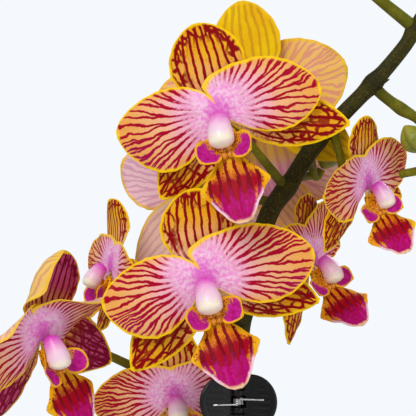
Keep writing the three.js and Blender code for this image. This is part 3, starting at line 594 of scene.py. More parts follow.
def blade(length, halves, bend=0.0, reflex=0.0, groove=0.0, ripple=(0, 1), curl=(0, 0), twist=0.0,
          thickness=TEPAL_THICKNESS, rows=34, cols=15, rise=0.0, seed=0.0, back=(0, 0),
          groove_width=1.1, keel=0.0, relief=None):
    """A thin blade that grows along +X with its front towards +Z. halves gives the half width of
    its left (-Y) and right (+Y) side at each u, back is how far each side reaches back past the
    base, and curl how many degrees it rolls forward. relief gives the thickness from the flat
    place. Returns the rings, their flat place, the distance to the margin, and which side faces
    front."""
    u = (1 - np.cos(np.linspace(0, np.pi, rows))) / 2
    angle = np.radians(rise - bend * u)
    steps = np.diff(u, prepend=0) * length
    mid = (angle + np.concatenate([[angle[0]], angle[:-1]])) / 2
    x, z = np.cumsum(steps * np.cos(mid)), np.cumsum(steps * np.sin(mid))
    v = np.sin(np.linspace(0, np.pi / 2, cols))
    sides = []
    for sign, half, roll in ((-1, halves[0](u), curl[0]), (1, halves[1](u), curl[1])):
        waves = ripple[1] * 2 * np.pi
        wobble = 1 + 0.012 * np.sin(3.1 * waves * u + seed + sign)
        reach = half * wobble
        bow = np.radians(roll) * smooth(u, 0.12, 0.55)
        slope = -2 * reflex * v[None, :] + bow[:, None] * smooth(v, 0.35, 1.0)[None, :]
        ds = np.diff(v, prepend=0)[None, :] * reach[:, None]
        middle = (slope + np.concatenate([slope[:, :1], slope[:, :-1]], 1)) / 2
        y = np.cumsum(ds * np.cos(middle), 1)
        lift = np.cumsum(ds * np.sin(middle), 1)
        wave = np.sin(waves * u + seed * 2.3 + sign * 1.3) + 0.5 * np.sin(2.3 * waves * u + seed)
        lift += ripple[0] * (wave * smooth(u, 0.05, 0.3))[:, None] * (v**3)[None, :]
        dip = np.exp(-(((v[None, :] * half[:, None]) / groove_width) ** 2))
        lift -= groove * dip * smooth(u, 0.02, 0.2)[:, None]
        sides.append((sign * y, lift, sign * v[None, :] * reach[:, None]))
    y, lift, flat_y = (np.concatenate([left[:, :0:-1], right], 1) for left, right in zip(*sides))
    turn = np.radians(twist) * smooth(u, 0, 0.7)
    side = y * np.cos(turn)[:, None] - lift * np.sin(turn)[:, None]
    up = lift * np.cos(turn)[:, None] + y * np.sin(turn)[:, None]
    share = np.concatenate([v[:0:-1], v])
    lag = np.concatenate([np.full(cols - 1, back[0]), np.full(cols, back[1])]) * share**2
    lag = lag[None, :] * (smooth(u, -0.04, 0.12) * (1 - smooth(u, 0.15, 0.55)))[:, None]
    surface = np.stack([x[:, None] - up * np.sin(angle)[:, None] - lag, side,
                        z[:, None] + up * np.cos(angle)[:, None]], -1)
    normal = unit(np.cross(np.gradient(surface, axis=0), np.gradient(surface, axis=1)))
    flat = np.stack([np.broadcast_to((u * length)[:, None], flat_y.shape) - lag, flat_y], -1)
    margin = np.minimum((1 - share)[None, :] * np.abs(flat_y[:, :1] - flat_y[:, -1:]) / 2,
                        ((1 - u) * length)[:, None] * 0.9)
    if relief:
        thick = relief(flat) / 2
    else:
        thick = thickness * (0.28 + 0.72 * (1 - share**3))[None, :] * mix(1.0, 0.6, u)[:, None] / 2
    ridge = keel * np.exp(-((flat_y / (2 * groove_width)) ** 2)) * (1 - u)[:, None]
    front = surface + normal * thick[..., None]
    behind = surface - normal * (thick + ridge)[..., None]
    points = np.concatenate([front, behind[:, ::-1]], 1)
    facing = np.concatenate([np.ones_like(y), np.zeros_like(y)], 1)
    both = lambda grid: np.concatenate([grid, grid[:, ::-1]], 1)
    return points, both(flat), both(margin), facing


def petal_field(x, y, length, lines=14.5):
    """Lines that fan out of the base and bow towards the margins."""
    r = np.hypot(x + 1.5, y) / length
    turn = np.arctan2(y, x + 1.5)
    return turn * lines / (np.pi * 0.5) / (1 + 0.6 * r)


def parallel_field(x, y, length, pitch=2.5):
    """Lines side by side, drawn together at the base and a little at the tip."""
    u = np.clip(x / length, 0, 1)
    together = (0.42 + 0.58 * smooth(u, 0, 0.5)) * (1 - 0.22 * smooth(u, 0.6, 1))
    return y / (pitch * together) + 0.5


def veins(field, flat, length, **options):
    """The vein number at each flat place, and the millimetres that one unit of it takes."""
    x, y = flat[..., 0], flat[..., 1]
    h = 0.05
    dx = (field(x + h, y, length, **options) - field(x - h, y, length, **options)) / (2 * h)
    dy = (field(x, y + h, length, **options) - field(x, y - h, length, **options)) / (2 * h)
    return field(x, y, length, **options), 1 / np.maximum(np.hypot(dx, dy), 0.02)


def across(angle, lean):
    a, b = math.radians(angle), math.radians(lean)
    return np.array([math.cos(a) * math.cos(b), math.sin(a) * math.cos(b), math.sin(b)])


def aim(points, at, along, front):
    """Places blade points at a place, growing along a direction, front towards another."""
    x = unit(along)
    z = unit(np.asarray(front, float) - x * (np.asarray(front, float) @ x))
    y = np.cross(z, x)
    return points @ np.array([x, y, z]) + np.asarray(at, float)


def flower_frame(flower, number):
    """The turning matrix and the middle of a flower, from its angles and its CAD column."""
    turned = (
        Matrix.Rotation(math.radians(flower["turn"]), 3, "Z")
        @ Matrix.Rotation(math.radians(90 - flower["tilt"]), 3, "X")
        @ Matrix.Rotation(math.radians(flower["roll"]), 3, "Z")
    )
    basis = np.array(turned) * flower["scale"]
    low, high = corners(f"flower_{number}_column")
    return basis, (low + high) / 2 - basis @ COLUMN_MIDDLE


def tepal(shape, kind, number, flower, spec, size, mirror=False):
    """Adds one sepal or petal to shape. mirror swaps its two sides, for a left petal."""
    basis, middle = flower_frame(flower, number)
    angle, lean, share, twist = (tuple(spec) + (0,))[:4]
    length, half = size["length"] * share, size["width"] / 2
    wide = flower.get("wide", {}).get(kind, (1, 1))
    back = np.array(size.get("back", (0, 0))) * flower.get("lobe", {}).get(kind, 1)
    outlines = [lambda u, s=side: half * oval(u, *s, size["point"])
                for side in (size["left"], size["right"])]
    if mirror:
        outlines.reverse()
        back = back[::-1]
    outlines = [lambda u, made=made, w=w: w * made(u) for made, w in zip(outlines, wide)]
    seed = number * 3.7 + len(kind) * 1.3
    points, flat, margin, facing = blade(
        length, outlines, bend=size["bend"], reflex=size["reflex"], groove=size["groove"],
        ripple=size["ripple"], curl=flower.get("curl", {}).get(kind, (0, 0)), twist=twist,
        seed=seed, back=back)
    is_petal = kind.endswith("Petal")
    field = petal_field if is_petal else parallel_field
    vein, spread = veins(field, flat, length)
    local = aim(points, (0, 0, size["z"]), across(angle, lean), (0, 0, 1))
    reach = np.hypot(flat[..., 0] + 1.5, flat[..., 1]) if is_petal else flat[..., 0]
    downward = (1 if mirror else -1) * flat[..., 1]
    shape.rings(
        local @ basis.T + middle,
        vein=vein + number * 31, spread=spread, along=reach / length, rim=margin, front=facing,
        lower=smooth(downward, 1.0, 8.0), blush=flower.get("blush", 0.3),
        spotty=float(kind in ("leftSepal", "rightSepal")), wine=flower.get("wine", 0.0),
        flat=with_third(flat, seed * 5))


def add_disc(shape, radius, low, high, basis, middle, seed, **values):
    """The small joined base of the sepals or of the petals."""
    rings = []
    for z, share in ((low, 0.6), (low + 0.1, 0.95), (high - 0.1, 0.95), (high, 0.6)):
        turn = full_turn(24)
        ring = np.column_stack([np.cos(turn), np.sin(turn), np.zeros(24)]) * radius * share
        rings.append(ring + [0, 0, z])
    rings = np.array(rings)
    facing = np.repeat([[0.0], [0.3], [0.7], [1.0]], 24, 1)
    shape.rings(rings @ basis.T + middle, vein=0.5, spread=50.0, along=0.1, rim=9.0,
                front=facing, flat=with_third(rings[..., :2], seed), **values)


# The lip's half width at shares of its length, over LIP_HALF_WIDTH.
LIP_PAIRS = [(0, 0.3), (0.14, 0.42), (0.26, 0.44), (0.31, 0.36), (0.36, 0.42), (0.44, 0.62),
             (0.52, 0.85), (0.575, 1.02), (0.61, 1.03), (0.65, 0.93), (0.74, 0.75), (0.84, 0.57),
             (0.92, 0.42), (0.97, 0.29), (1, 0.12)]
LIP_LENGTH, LIP_HALF_WIDTH, LOBE_LENGTH, LOBE_HALF_WIDTH = 31, 10.6, 12.5, 4.5


def lip(shape, number, flower, spec):
    """The claw and mid-lobe, the two side lobes and the callus, of one flower."""
    basis, middle = flower_frame(flower, number)
    angle, lean, bend = spec[:3]
    along, base = across(angle, lean), np.array([0, -4.8, 2.2])
    seed = number * 2.9

    def place(points):
        front = (flower.get("lip_side", 0), 0.5, 1)
        return aim(points, base, along, front) @ basis.T + middle

    outline = lambda u: LIP_HALF_WIDTH * np.interp(u, *zip(*LIP_PAIRS))
    points, flat, margin, facing = blade(
        LIP_LENGTH, [outline, outline], bend=-bend, reflex=0.12, groove=0.4, ripple=(0.55, 2.4),
        rows=44, cols=13, seed=seed, thickness=1.1)
    vein, spread = veins(parallel_field, flat, LIP_LENGTH, pitch=3.0)
    shape.rings(place(points), look=0, vein=vein + number * 31, spread=spread,
                along=flat[..., 0] / LIP_LENGTH, rim=margin, front=facing,
                flat=with_third(flat, seed * 5))
    for side in (-1, 1):
        half = lambda u: LOBE_HALF_WIDTH * oval(u, 0.62, 0.6, 0.66, 0.7)
        points, flat, margin, facing = blade(
            LOBE_LENGTH, [half, half], bend=-15, reflex=-0.22, ripple=(0.35, 1.6), rows=18, cols=9,
            seed=seed + side)
        local = aim(points, (3.0, side * 1.4, 0.2), (0.88, side * 0.68, 0.34), (-0.1, -side, 1.5))
        shape.rings(place(local), look=1, along=flat[..., 0] / LOBE_LENGTH, rim=margin,
                    front=facing, flat=with_third(flat, seed * 5 + side * 7))
    for x, y, size in ((7.2, 1.1, 1.5), (7.2, -1.1, 1.5), (9.3, 0.9, 1.2), (9.3, -0.9, 1.2),
                       (5.4, 0, 1.3)):
        stops = np.array([0, 0.3, 0.65, 0.9, 1])
        path = np.array([[x + 0.5 * s, y, 0.1 + 2.1 * s] for s in stops])
        rings = tube_rings(path, size * np.array([1, 1, 0.82, 0.5, 0.15]), 12)
        shape.rings(place(rings), look=2, flat=rings)


def column(shape, number, flower):
    """The column: a stout, slightly bowed thumb with a rounded cap over its end."""
    basis, middle = flower_frame(flower, number)
    length = 11.2
    low = COLUMN_MIDDLE + COLUMN_AXIS * (6.8 - length)
    stops = 0.5 - 0.5 * np.cos(np.linspace(0, np.pi, 30))
    radii = np.interp(stops, [0, 0.06, 0.2, 0.45, 0.66, 0.72, 0.75, 0.82, 0.9, 0.95, 0.985, 1],
                      [2.0, 2.7, 3.1, 3.6, 4.0, 4.0, 3.85, 3.9, 3.5, 2.7, 1.5, 0.4])
    bow = np.array([0, 0.57, 0.82])
    path = low + np.outer(stops * length, COLUMN_AXIS)
    path = path + np.outer(0.9 * np.sin(np.pi * stops), bow)
    rings = tube_rings(path, radii, 20)
    shape.rings(rings @ basis.T + middle, along=stops[:, None], flat=rings + [0, 0, number * 11])


def build_flowers():
    looks = dict(petal=petal_look(), sepal=sepal_look(), lip=lip_look(), lobe=side_lobe_look(),
                 callus=callus_look(), column=column_look())
    for number, flower in enumerate(FLOWERS, 1):
        fan = {**PLAIN_FAN, **flower["fan"]}
        basis, middle = flower_frame(flower, number)
        plain = dict(lower=0.0, blush=flower.get("blush", 0.3), spotty=0.0, wine=0.0)
        name = f"flower_{number}"
        sepals, petals, lips, columns = Shape(), Shape(), Shape(), Shape()
        for kind, size in (("dorsal", DORSAL), ("leftSepal", LATERAL), ("rightSepal", LATERAL)):
            tepal(sepals, kind, number, flower, fan[kind], size)
        add_disc(sepals, 4.4, -1.2, 0, basis, middle, number, **plain)
        for kind in ("leftPetal", "rightPetal"):
            tepal(petals, kind, number, flower, fan[kind], PETAL, mirror=kind == "leftPetal")
        add_disc(petals, 3.3, 0.3, 1.4, basis, middle, number, **plain)
        lip(lips, number, flower, fan["lip"])
        column(columns, number, flower)
        for shape, part, *its_looks in ((sepals, "sepals", "sepal"), (petals, "petals", "petal"),
                                        (lips, "lip", "lip", "lobe", "callus"),
                                        (columns, "column", "column")):
            shape.make(f"{name}_{part}_bloom", [looks[look] for look in its_looks],
                       slot=its_looks[0], replaces=[f"{name}_{part}"])


# ---- Spikes and buds ------------------------------------------------------------------------
STEM_R = STAKE_LOW[1] - 0.4  # the stake stands 0.4 behind the stem
PEDICEL_R = 1.3
MAIN_STEM = [
    (-0.3, 0, -3), (0, 0, 3.5), (0.9, 0, 24.9), (5.3, 0, 45.4), (9.9, 0, 60.3), (15.5, 0, 68.3),
    (24.8, 0, 82.6), (33.2, 0, 91.3), (43.4, 0, 101.8), (51.6, 0, 111.6), (55.8, 0.5, 117.8),
    (64, 2, 123), (80, 4, 130.5), (97, 6, 131), (108, 7, 125)]
BRANCH = [(41.5, 0, 99.8), (45.3, 0.5, 96.2), (50.8, 1, 92.2), (56.5, 2, 88.6), (61, 3, 81.5),
          (59, 5, 74.5), (51, 9, 72)]
SIDE_STEM = [(-25, 24, -40), (-27, 23, 0), (-27.5, 23, 22), (-28.5, 22, 36)]
MAIN_PEDICELS = [((15, 0, 67.5), 1, None), ((2, 0, 30), 2, None), ((29, 0, 87), 5, None),
                 ((6, 0, 48), 6, None), ((24, 0, 82), 7, None), ((12, 0, 63), 8, None),
                 ((17, 0, 71), 10, (14, 3, 0))]
SIDE_PEDICELS = [((-26.5, 23, 8), 3, (0, 11, 0)), ((-27, 23, -4), 4, None),
                 ((-28.5, 22, 36), 9, None)]
BUDS = [
    dict(start=(60.5, 3, 80), base=(57, 0, 79), tip=(51.5, -1, 87), radius=4.0, stalk=1),
    dict(start=(54.8, 0, 117.3), base=(36.5, -1, 133), tip=(28, -2, 142.5), radius=4.6, stalk=1.35),
    dict(start=(22, 1, 78.5), base=(26.5, 12, 74), tip=(32, 12, 84), radius=3.8, stalk=1)]
# Places on the main spike that swell, with how much: where branches and bracts grow.
KNOTS = [((41.8, 0, 100.3), 0.3), ((55.4, 0.3, 117.2), 0.45), ((24.4, 0, 82), 0.16),
         ((15, 0, 67.5), 0.14), ((80, 4, 130.5), 0.45), ((97, 6, 131), 0.4),
         ((2, 0, 30), 0.14), ((-3.5, 0.5, -128), 0.3)]
# Bracts on the main spike: place, the stem's way there, the side they stand on, and size.
BRACTS = [((41.8, 0, 100.3), (0.7, 0, 0.7), (0.75, -0.2, -0.6), 0.9),
          ((55.4, 0.3, 117.2), (0.6, 0, 0.8), (-0.8, -0.3, 0.5), 0.9),
          ((24.4, 0, 82), (0.6, 0, 0.8), (0.8, -0.4, -0.5), 0.8),
          ((80, 4, 130.5), (0.9, 0, 0.2), (0, -0.3, -1), 0.7),
          ((2, 0, 30), (0.15, 0, 1), (-1, -0.4, 0), 0.8)]


def stem_look():
    n = Nodes("stem_skin", Specular_IOR_Level=0.1)
    at, young = n.place(), n.value("young")
    fine, cloud = n.noise(at, 2.6), n.noise(at, 0.25)
    dark = n.blend(n.step(cloud), "2B280B", "3B3710")
    dark = n.blend(n.step(fine, 0.56, 0.7), dark, "5E5622")
    dark = n.blend(n.step(fine, 0.42, 0.3), dark, "181608")
    fresh = n.blend(n.step(cloud), "6C6A12", "86821F")
    fresh = n.blend(n.step(fine, 0.55, 0.72), fresh, "4A4A10")
    colour = n.blend(young, dark, fresh)
    colour = n.blend(n.value("crotch"), colour, "1C1708", 0.75)
    n.bump(fine, 0.12, 0.5)
    return n.finish(colour, n.step(cloud, 0.3, 0.7, 0.5, 0.66))


def bud_look():
    n = Nodes("bud_skin", Roughness=0.45, Specular_IOR_Level=0.4)
    at, along = n.place(), n.value("along")
    fine, cloud = n.noise(at, 1.6), n.noise(at, 0.2)
    green = n.blend(n.step(cloud), "6E7A1C", "8D8F28")
    colour = n.blend(n.step(along, 0.55, 1.0), green, "A39A2C")
    colour = n.blend(n.step(fine, 0.56, 0.7), colour, "5C4A14", 0.7)
    colour = n.blend(n.value("seam"), colour, "4C5412", 0.6)
    n.bump(fine, 0.12, 0.4)
    return n.finish(colour)


def stalk(shape, points, radii, young=0.0, steps=8, sides=14, knots=()):
    """A stem through points with their radii, swollen at the knots. young shades its colour."""
    path, at = spline(points, steps)
    radius = np.interp(at, np.arange(len(points)), radii)
    crotch = np.zeros(len(path))
    for place, swell in knots:
        near = np.exp(-((np.linalg.norm(path - from_datum(place), axis=1) / 2.8) ** 2))
        radius = radius * (1 + swell * near)
        crotch = np.maximum(crotch, near * smooth(swell, 0.15, 0.4))
    rings = tube_rings(path, radius, sides)
    tone = np.interp(at, np.arange(len(points)), np.broadcast_to(young, len(points)))
    shape.rings(rings, young=tone[:, None], crotch=crotch[:, None])


def bract(shape, place, along, out, size):
    """A small pointed scale that hugs the stem."""
    half = lambda u: 2.3 * size * oval(u, 0.35, 0.8, 0.7, 0.9)
    points = blade(6.5 * size, [half, half], bend=-14, reflex=-0.5, rows=10, cols=5,
                   thickness=0.7)[0]
    out = unit(out)
    start = from_datum(place) + out * 1.9 * size - unit(along) * 1.5
    shape.rings(aim(points, start, unit(along) + 0.35 * out, -out), young=0.25, crotch=0.6)


def pedicels(shape, listed):
    for start, number, bow in listed:
        basis, middle = flower_frame(FLOWERS[number - 1], number)
        first = from_datum(start)
        back = middle + basis @ np.array([0, 0, -1.8])
        behind = middle + basis @ np.array([0, 0, -9])
        half = (first + behind) / 2 + (bow or (0, 0, 0))
        radii = PEDICEL_R * np.array([1.25, 0.98, 1, 1.3])
        stalk(shape, [first, half, behind, back], radii, young=[0.3, 0.9, 1, 1], steps=10)


def bud(name, look, base, tip, radius, **_):
    """An egg-shaped bud with three seams."""
    shape = Shape()
    low, high = from_datum(base), from_datum(tip)
    stops = 0.5 - 0.5 * np.cos(np.linspace(0, np.pi, 24))
    radii = radius * np.sin(np.pi * stops**0.88) ** 0.72 * 1.03 + 0.12
    rings = tube_rings(low + np.outer(stops, high - low), radii, 30)
    middle = rings.mean(1, keepdims=True)
    turn = full_turn(30)
    seam = np.maximum(0, np.cos(3 * turn)) ** 14
    rings = middle + (rings - middle) * (1 - 0.09 * seam)[None, :, None]
    shape.rings(rings, along=stops[:, None], seam=seam[None, :])
    shape.make(f"{name}_bloom", [look], slot="bud", replaces=[name])


def build_spikes():
    look, green = stem_look(), bud_look()
    foot = [np.array([0.2 - STEM_R, CROWN_Y - CROWN_R + 2, BARK_TOP + 10]),
            np.array([-6, CROWN_Y - CROWN_R - 5, BARK_TOP + 22]),
            np.array([-3.5, 0.5, mix(BARK_TOP, DATUM_Z, 0.35)]),
            np.array([-0.6, 0, mix(BARK_TOP, DATUM_Z, 0.65)])]
    points = foot + [*from_datum(MAIN_STEM)]
    past = (np.arange(len(points)) - 8) / (len(points) - 9)
    radii = STEM_R * np.where(past < 0, 1, 1 - 0.5 * past)
    main = Shape()
    stalk(main, points, radii, young=np.clip((np.arange(len(points)) - 13) / 3, 0, 0.75), steps=12,
          sides=20, knots=KNOTS)
    branch = [*from_datum(BRANCH)]
    stalk(main, branch, np.linspace(0.62 * STEM_R, PEDICEL_R, len(branch)),
          young=[0, 0.5, 0.9, 0.9, 0.8, 0.9, 1],
          knots=[((50.8, 1, 92.2), 0.25), ((60.9, 3, 80.5), 0.35)])
    pedicels(main, MAIN_PEDICELS)
    for shape in BUDS:
        base, tip = from_datum(shape["base"]), from_datum(shape["tip"])
        back = unit(base - tip)
        end = base + back * 0.3
        stalk(main, [from_datum(shape["start"]), end + back * 3, end],
              PEDICEL_R * shape["stalk"] * np.array([1.2, 0.9, 1]), young=[0.5, 0.9, 1])
    for place, along, out, size in BRACTS:
        bract(main, place, along, out, size)
    main.make("flower_spike_bloom", [look], slot="stem", replaces=["flower_spike"])

    side = Shape()
    foot = [np.array([-4, CROWN_Y + CROWN_R - 3, BARK_TOP + 8]),
            np.array([-8, CROWN_Y + CROWN_R + 3, BARK_TOP + 24]),
            np.array([-16, CROWN_Y + CROWN_R - 2, BARK_TOP + 87])]
    points = foot + [*from_datum(SIDE_STEM)]
    stalk(side, points, np.linspace(0.9, 0.5, len(points)) * STEM_R, steps=12, sides=16,
          knots=[((-26, 23.5, -20), 0.2), ((-27, 23, 8), 0.2), ((-8, 32, -173), 0.25)])
    pedicels(side, SIDE_PEDICELS)
    side.make("side_spike_bloom", [look], slot="stem", replaces=["side_spike"])
    for number, shape in enumerate(BUDS, 1):
        bud(f"bud_{number}", green, **shape)


# ---- Stake and claw clip --------------------------------------------------------------------
CLIP_HALF_HEIGHT = 5.5
CLIP_BAND = 2.0
STAKE_Y = (STAKE_LOW[1] + STAKE_HIGH[1]) / 2
BUNDLE_Y = (STAKE_Y + STAKE_R - STEM_R) / 2
CLAW_R = BUNDLE_Y + STEM_R + 0.5
EAR_R, EAR_THICKNESS, PIN_R = 2.2, 1.7, 0.7
HINGE_Y = BUNDLE_Y - CLAW_R - CLIP_BAND - EAR_R - 0.4
HINGE = np.array([0, HINGE_Y, CLIP_Z])
WING_R, WING_THICKNESS, WING_MIDDLE, WING_NEAR = 8.4, 1.6, 4.2, 2.8
WING_ANGLE = math.radians(20)
CLAW_HEEL, CLAW_TOE = 72, 85


def rounded(count, wide, high, power=5.0):
    """A rounded oblong section, as (wide, high) places."""
    turn = full_turn(count)
    c, s = np.cos(turn), np.sin(turn)
    return np.column_stack([wide * np.sign(c) * np.abs(c) ** (2 / power),
                            high * np.sign(s) * np.abs(s) ** (2 / power)])


def swept(places, wides, highs, sections):
    """Rings of an oblong section at each place, with softened ends."""
    rings = []
    last = len(places) - 1
    for i, (place, wide, high, (w, h)) in enumerate(zip(places, wides, highs, sections)):
        share = np.interp(min(i, last - i), (0, 1, 2, 3), (0.55, 0.86, 0.97, 1.0))
        w *= share if w > 0.6 else mix(1, share, 0.5)
        shape = rounded(24, w, h * mix(1, share, 0.35))
        rings.append(place + shape[:, :1] * wide + shape[:, 1:] * high)
    return np.array(rings)


def straight(shape, start, end, up, width, height):
    """A softened bar between two points."""
    start, end, up = (np.asarray(v, float) for v in (start, end, up))
    wide = unit(np.cross(end - start, up))
    stops = np.array([0, 0.02, 0.06, 0.3, 0.7, 0.94, 0.98, 1])
    places = start + stops[:, None] * (end - start)
    shape.rings(swept(places, [wide] * 8, [up] * 8, [(width / 2, height / 2)] * 8))


def upright(shape, radius, low, high, hole=None):
    """A softened upright cylinder on the hinge's axis, or a ring when it has a hole."""
    e = min(0.25, (high - low) / 4)
    outer = [(radius - e, low), (radius - e * 0.3, low + e * 0.3), (radius, low + e),
             (radius, high - e), (radius - e * 0.3, high - e * 0.3), (radius - e, high)]
    if hole:
        profile = [(hole, low + e * 0.4)] + outer + [(hole, high - e * 0.4)]
    else:
        profile = [(0.06, low)] + outer + [(0.06, high)]
    rings = lathe_rings(profile, 32) + HINGE
    shape.rings(rings, closed_loop=bool(hole))


def wing_relief(flat):
    """The wing's thickness: a raised rim, and ribs across its middle for the fingers."""
    radius = np.hypot(flat[..., 0] + WING_NEAR - WING_MIDDLE, flat[..., 1])
    inward = np.clip(WING_R - radius, 0, None)
    edge = np.sqrt(np.clip(1 - (1 - np.clip(inward / 0.7, 0, 1)) ** 2, 0, 1))
    rim = 0.35 * np.exp(-(((inward - 0.9) / 0.45) ** 2))
    ribs = 0.3 * smooth(np.sin(flat[..., 1] * 2 * np.pi / 1.9), 0.1, 0.8) * smooth(inward, 1.8, 2.4)
    ribs = ribs * smooth(flat[..., 0], 1.5, 2.5)
    return WING_THICKNESS * (0.12 + 0.68 * edge) + rim + ribs


def wing_ways(side):
    """The way that a wing reaches from the hinge, and the way that its front faces."""
    return (np.array([side * math.cos(WING_ANGLE), -math.sin(WING_ANGLE), 0]),
            np.array([-side * math.sin(WING_ANGLE), -math.cos(WING_ANGLE), 0]))


def clip_half(shape, side, ears):
    """One half of the claw clip: side is -1 for the left half and +1 for the right half."""
    turn = np.radians(np.linspace(-CLAW_HEEL, CLAW_TOE, 44))
    out = np.column_stack([side * np.cos(turn), np.sin(turn), np.zeros(44)])
    places = out * (CLAW_R + CLIP_BAND / 2) + [0, BUNDLE_Y, CLIP_Z]
    ridge = 0.06 * smooth(np.sin(np.linspace(0, 14 * np.pi, 44)), 0.0, 0.9)
    shape.rings(swept(places, out, [np.array([0, 0, 1.0])] * 44,
                      [(CLIP_BAND / 2 + r, CLIP_HALF_HEIGHT) for r in ridge]))
    reach, front = wing_ways(side)
    far = WING_MIDDLE + WING_R
    half = lambda u: np.sqrt(np.clip(
        WING_R**2 - (WING_NEAR + u * (far - WING_NEAR) - WING_MIDDLE) ** 2, 0.01, None))
    points = blade(far - WING_NEAR, [half, half], rows=56, cols=40, relief=wing_relief,
                   ripple=(0, 0))[0]
    shape.rings(aim(points, HINGE + reach * WING_NEAR, reach, front))
    middle = CLAW_R + CLIP_BAND / 2
    heel = np.array([side * middle * math.cos(math.radians(CLAW_HEEL)),
                     BUNDLE_Y - middle * math.sin(math.radians(CLAW_HEEL)), CLIP_Z])
    up = np.array([0, 0, 1.0])
    for low in ears:
        level = np.array([0, 0, low + EAR_THICKNESS / 2])
        upright(shape, EAR_R, low, low + EAR_THICKNESS, hole=PIN_R + 0.25 if side > 0 else None)
        straight(shape, HINGE + level + unit(heel - HINGE) * 1.2, heel + level, up, CLIP_BAND,
                 EAR_THICKNESS)
        straight(shape, HINGE + level + reach * 1.2, HINGE + level + reach * (WING_NEAR + 0.9), up,
                 WING_THICKNESS, EAR_THICKNESS)


def clip_look():
    n = Nodes("clip_skin", Specular_IOR_Level=0.3)
    fine = n.noise(n.place(), 3.0)
    n.bump(fine, 0.03, 0.5)
    cloud = n.noise(n.place(8.0), 1.0)
    return n.finish(n.blend(cloud, "050505", "0B0B0C"), n.step(cloud, 0.3, 0.7, 0.3, 0.42))


def steel_look():
    n = Nodes("spring_skin", Metallic=1.0)
    drawn = n.noise(n.stretched(n.place(), 6.0, 6.0, 0.8), 1.0)
    n.bump(drawn, 0.02, 0.5)
    return n.finish(n.blend(drawn, "B9BABC", "DADBDC"), n.step(drawn, 0.3, 0.7, 0.2, 0.34))


def stake_look():
    n = Nodes("stake_skin", Specular_IOR_Level=0.3)
    grain = n.noise(n.stretched(n.place(), 2.0, 2.0, 0.08), 1.0, 3.0)
    n.bump(grain, 0.15, 0.6)
    return n.finish(n.blend(n.step(grain), "26301F", "3B4A2E"), 0.6)


def build_stake_and_clip():
    stake = Shape()
    low, high = STAKE_LOW[2], STAKE_HIGH[2]
    stops = [(0.15, low), (0.6, low + 2), (1, low + 7)]
    stops += [(1 + 0.02 * math.sin(z), z) for z in np.linspace(low + 12, high - 1.2, 50)]
    stops += [(0.92, high - 0.5), (0.7, high - 0.12), (0.3, high)]
    rings = lathe_rings([(STAKE_R * share, z) for share, z in stops], 24) + [0, STAKE_Y, 0]
    stake.rings(rings)
    stake.make("support_stake_bloom", [stake_look()], slot="stake", replaces=["support_stake"])

    plastic = clip_look()
    left_ears = [-CLIP_HALF_HEIGHT, CLIP_HALF_HEIGHT - EAR_THICKNESS]
    right_ears = [low + (EAR_THICKNESS + 0.3) * (1 if low < 0 else -1) for low in left_ears]
    left, right = Shape(), Shape()
    clip_half(left, -1, left_ears)
    upright(left, PIN_R, -CLIP_HALF_HEIGHT, CLIP_HALF_HEIGHT)
    clip_half(right, 1, right_ears)
    left.make("clip_left_moulding", [plastic], slot="clip_plastic", replaces=["clip_left_half"])
    right.make("clip_right_moulding", [plastic], body="clip_right", slot="clip_plastic",
               replaces=["clip_right_half"])

    # The spring: a coil round the pin, and an arm along the front of each wing.
    wire, coil_r, top = 0.3, PIN_R + 0.25 + 0.32, right_ears[1] - 0.3 - 0.35
    ends = {}
    for side in (-1, 1):
        reach, front = wing_ways(side)
        stand = WING_THICKNESS / 2 + 0.65
        ends[side] = [HINGE + front * stand + reach * r + [0, 0, side * 0.8]
                      for r in (WING_R * 1.05, WING_R * 0.7, WING_R * 0.4, 1.2)]
    turns, count = 4, 88
    turn = np.linspace(0, 1, count)
    spin = -math.pi / 2 - 2 * np.pi * turns * turn
    coil = np.column_stack([coil_r * np.cos(spin), coil_r * np.sin(spin),
                            np.linspace(-top, top, count)]) + HINGE
    path = np.vstack([ends[-1], coil, ends[1][::-1]])
    spring = Shape()
    spring.rings(tube_rings(path, np.full(len(path), wire), 10))
    piece = spring.make("clip_spring_wire", [steel_look()], body=None, slot="spring_steel",
                        replaces=["clip_spring"])
    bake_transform(piece)


# ---- Pots and bark --------------------------------------------------------------------------
RIM_R = (POT_HIGH[0] - POT_LOW[0]) / 2
BASE_R = RIM_R - 17
POT_WALL, POT_FLOOR, LINER_GAP, LINER_WALL = 4.5, 6.0, 1.5, 1.4


def outer_radius(z):
    return mix(BASE_R, RIM_R, z / POT_HIGH[2])


def round_off(profile, radius, steps):
    """A closed-over profile with each corner turned into a small arc."""
    profile = [np.array(p, float) for p in profile]
    made = [profile[0]]
    for before, corner, after in zip(profile, profile[1:], profile[2:]):
        r = min([radius] + [np.linalg.norm(end - corner) * 0.45 for end in (before, after)])
        a, b = corner + unit(before - corner) * r, corner + unit(after - corner) * r
        for t in np.linspace(0, 1, steps):
            made.append((1 - t) ** 2 * a + 2 * t * (1 - t) * corner + t**2 * b)
    return made + [profile[-1]]


def finer(profile, gap):
    made = [profile[0]]
    for a, b in zip(profile, profile[1:]):
        count = max(1, int(np.linalg.norm(np.asarray(b) - a) / gap))
        made += [mix(np.asarray(a), np.asarray(b), k / count) for k in range(1, count + 1)]
    return made


def glaze_look():
    n = Nodes("glaze_skin", Specular_IOR_Level=0.6, Coat_Weight=0.4, Coat_Roughness=0.08)
    at = n.place()
    cloud, fine = n.noise(at, 0.03, 3.0), n.noise(at, 0.5, 3.0)
    white = n.blend(n.step(cloud), "E4E2DB", "ECEAE4")
    white = n.blend(dots(n, at, 0.22, 0.07), white, "B9B2A4", 0.35)
    n.bump(n.noise(at, 0.12), 0.25, 0.25)
    return n.finish(white, n.step(fine, 0.3, 0.7, 0.16, 0.24))


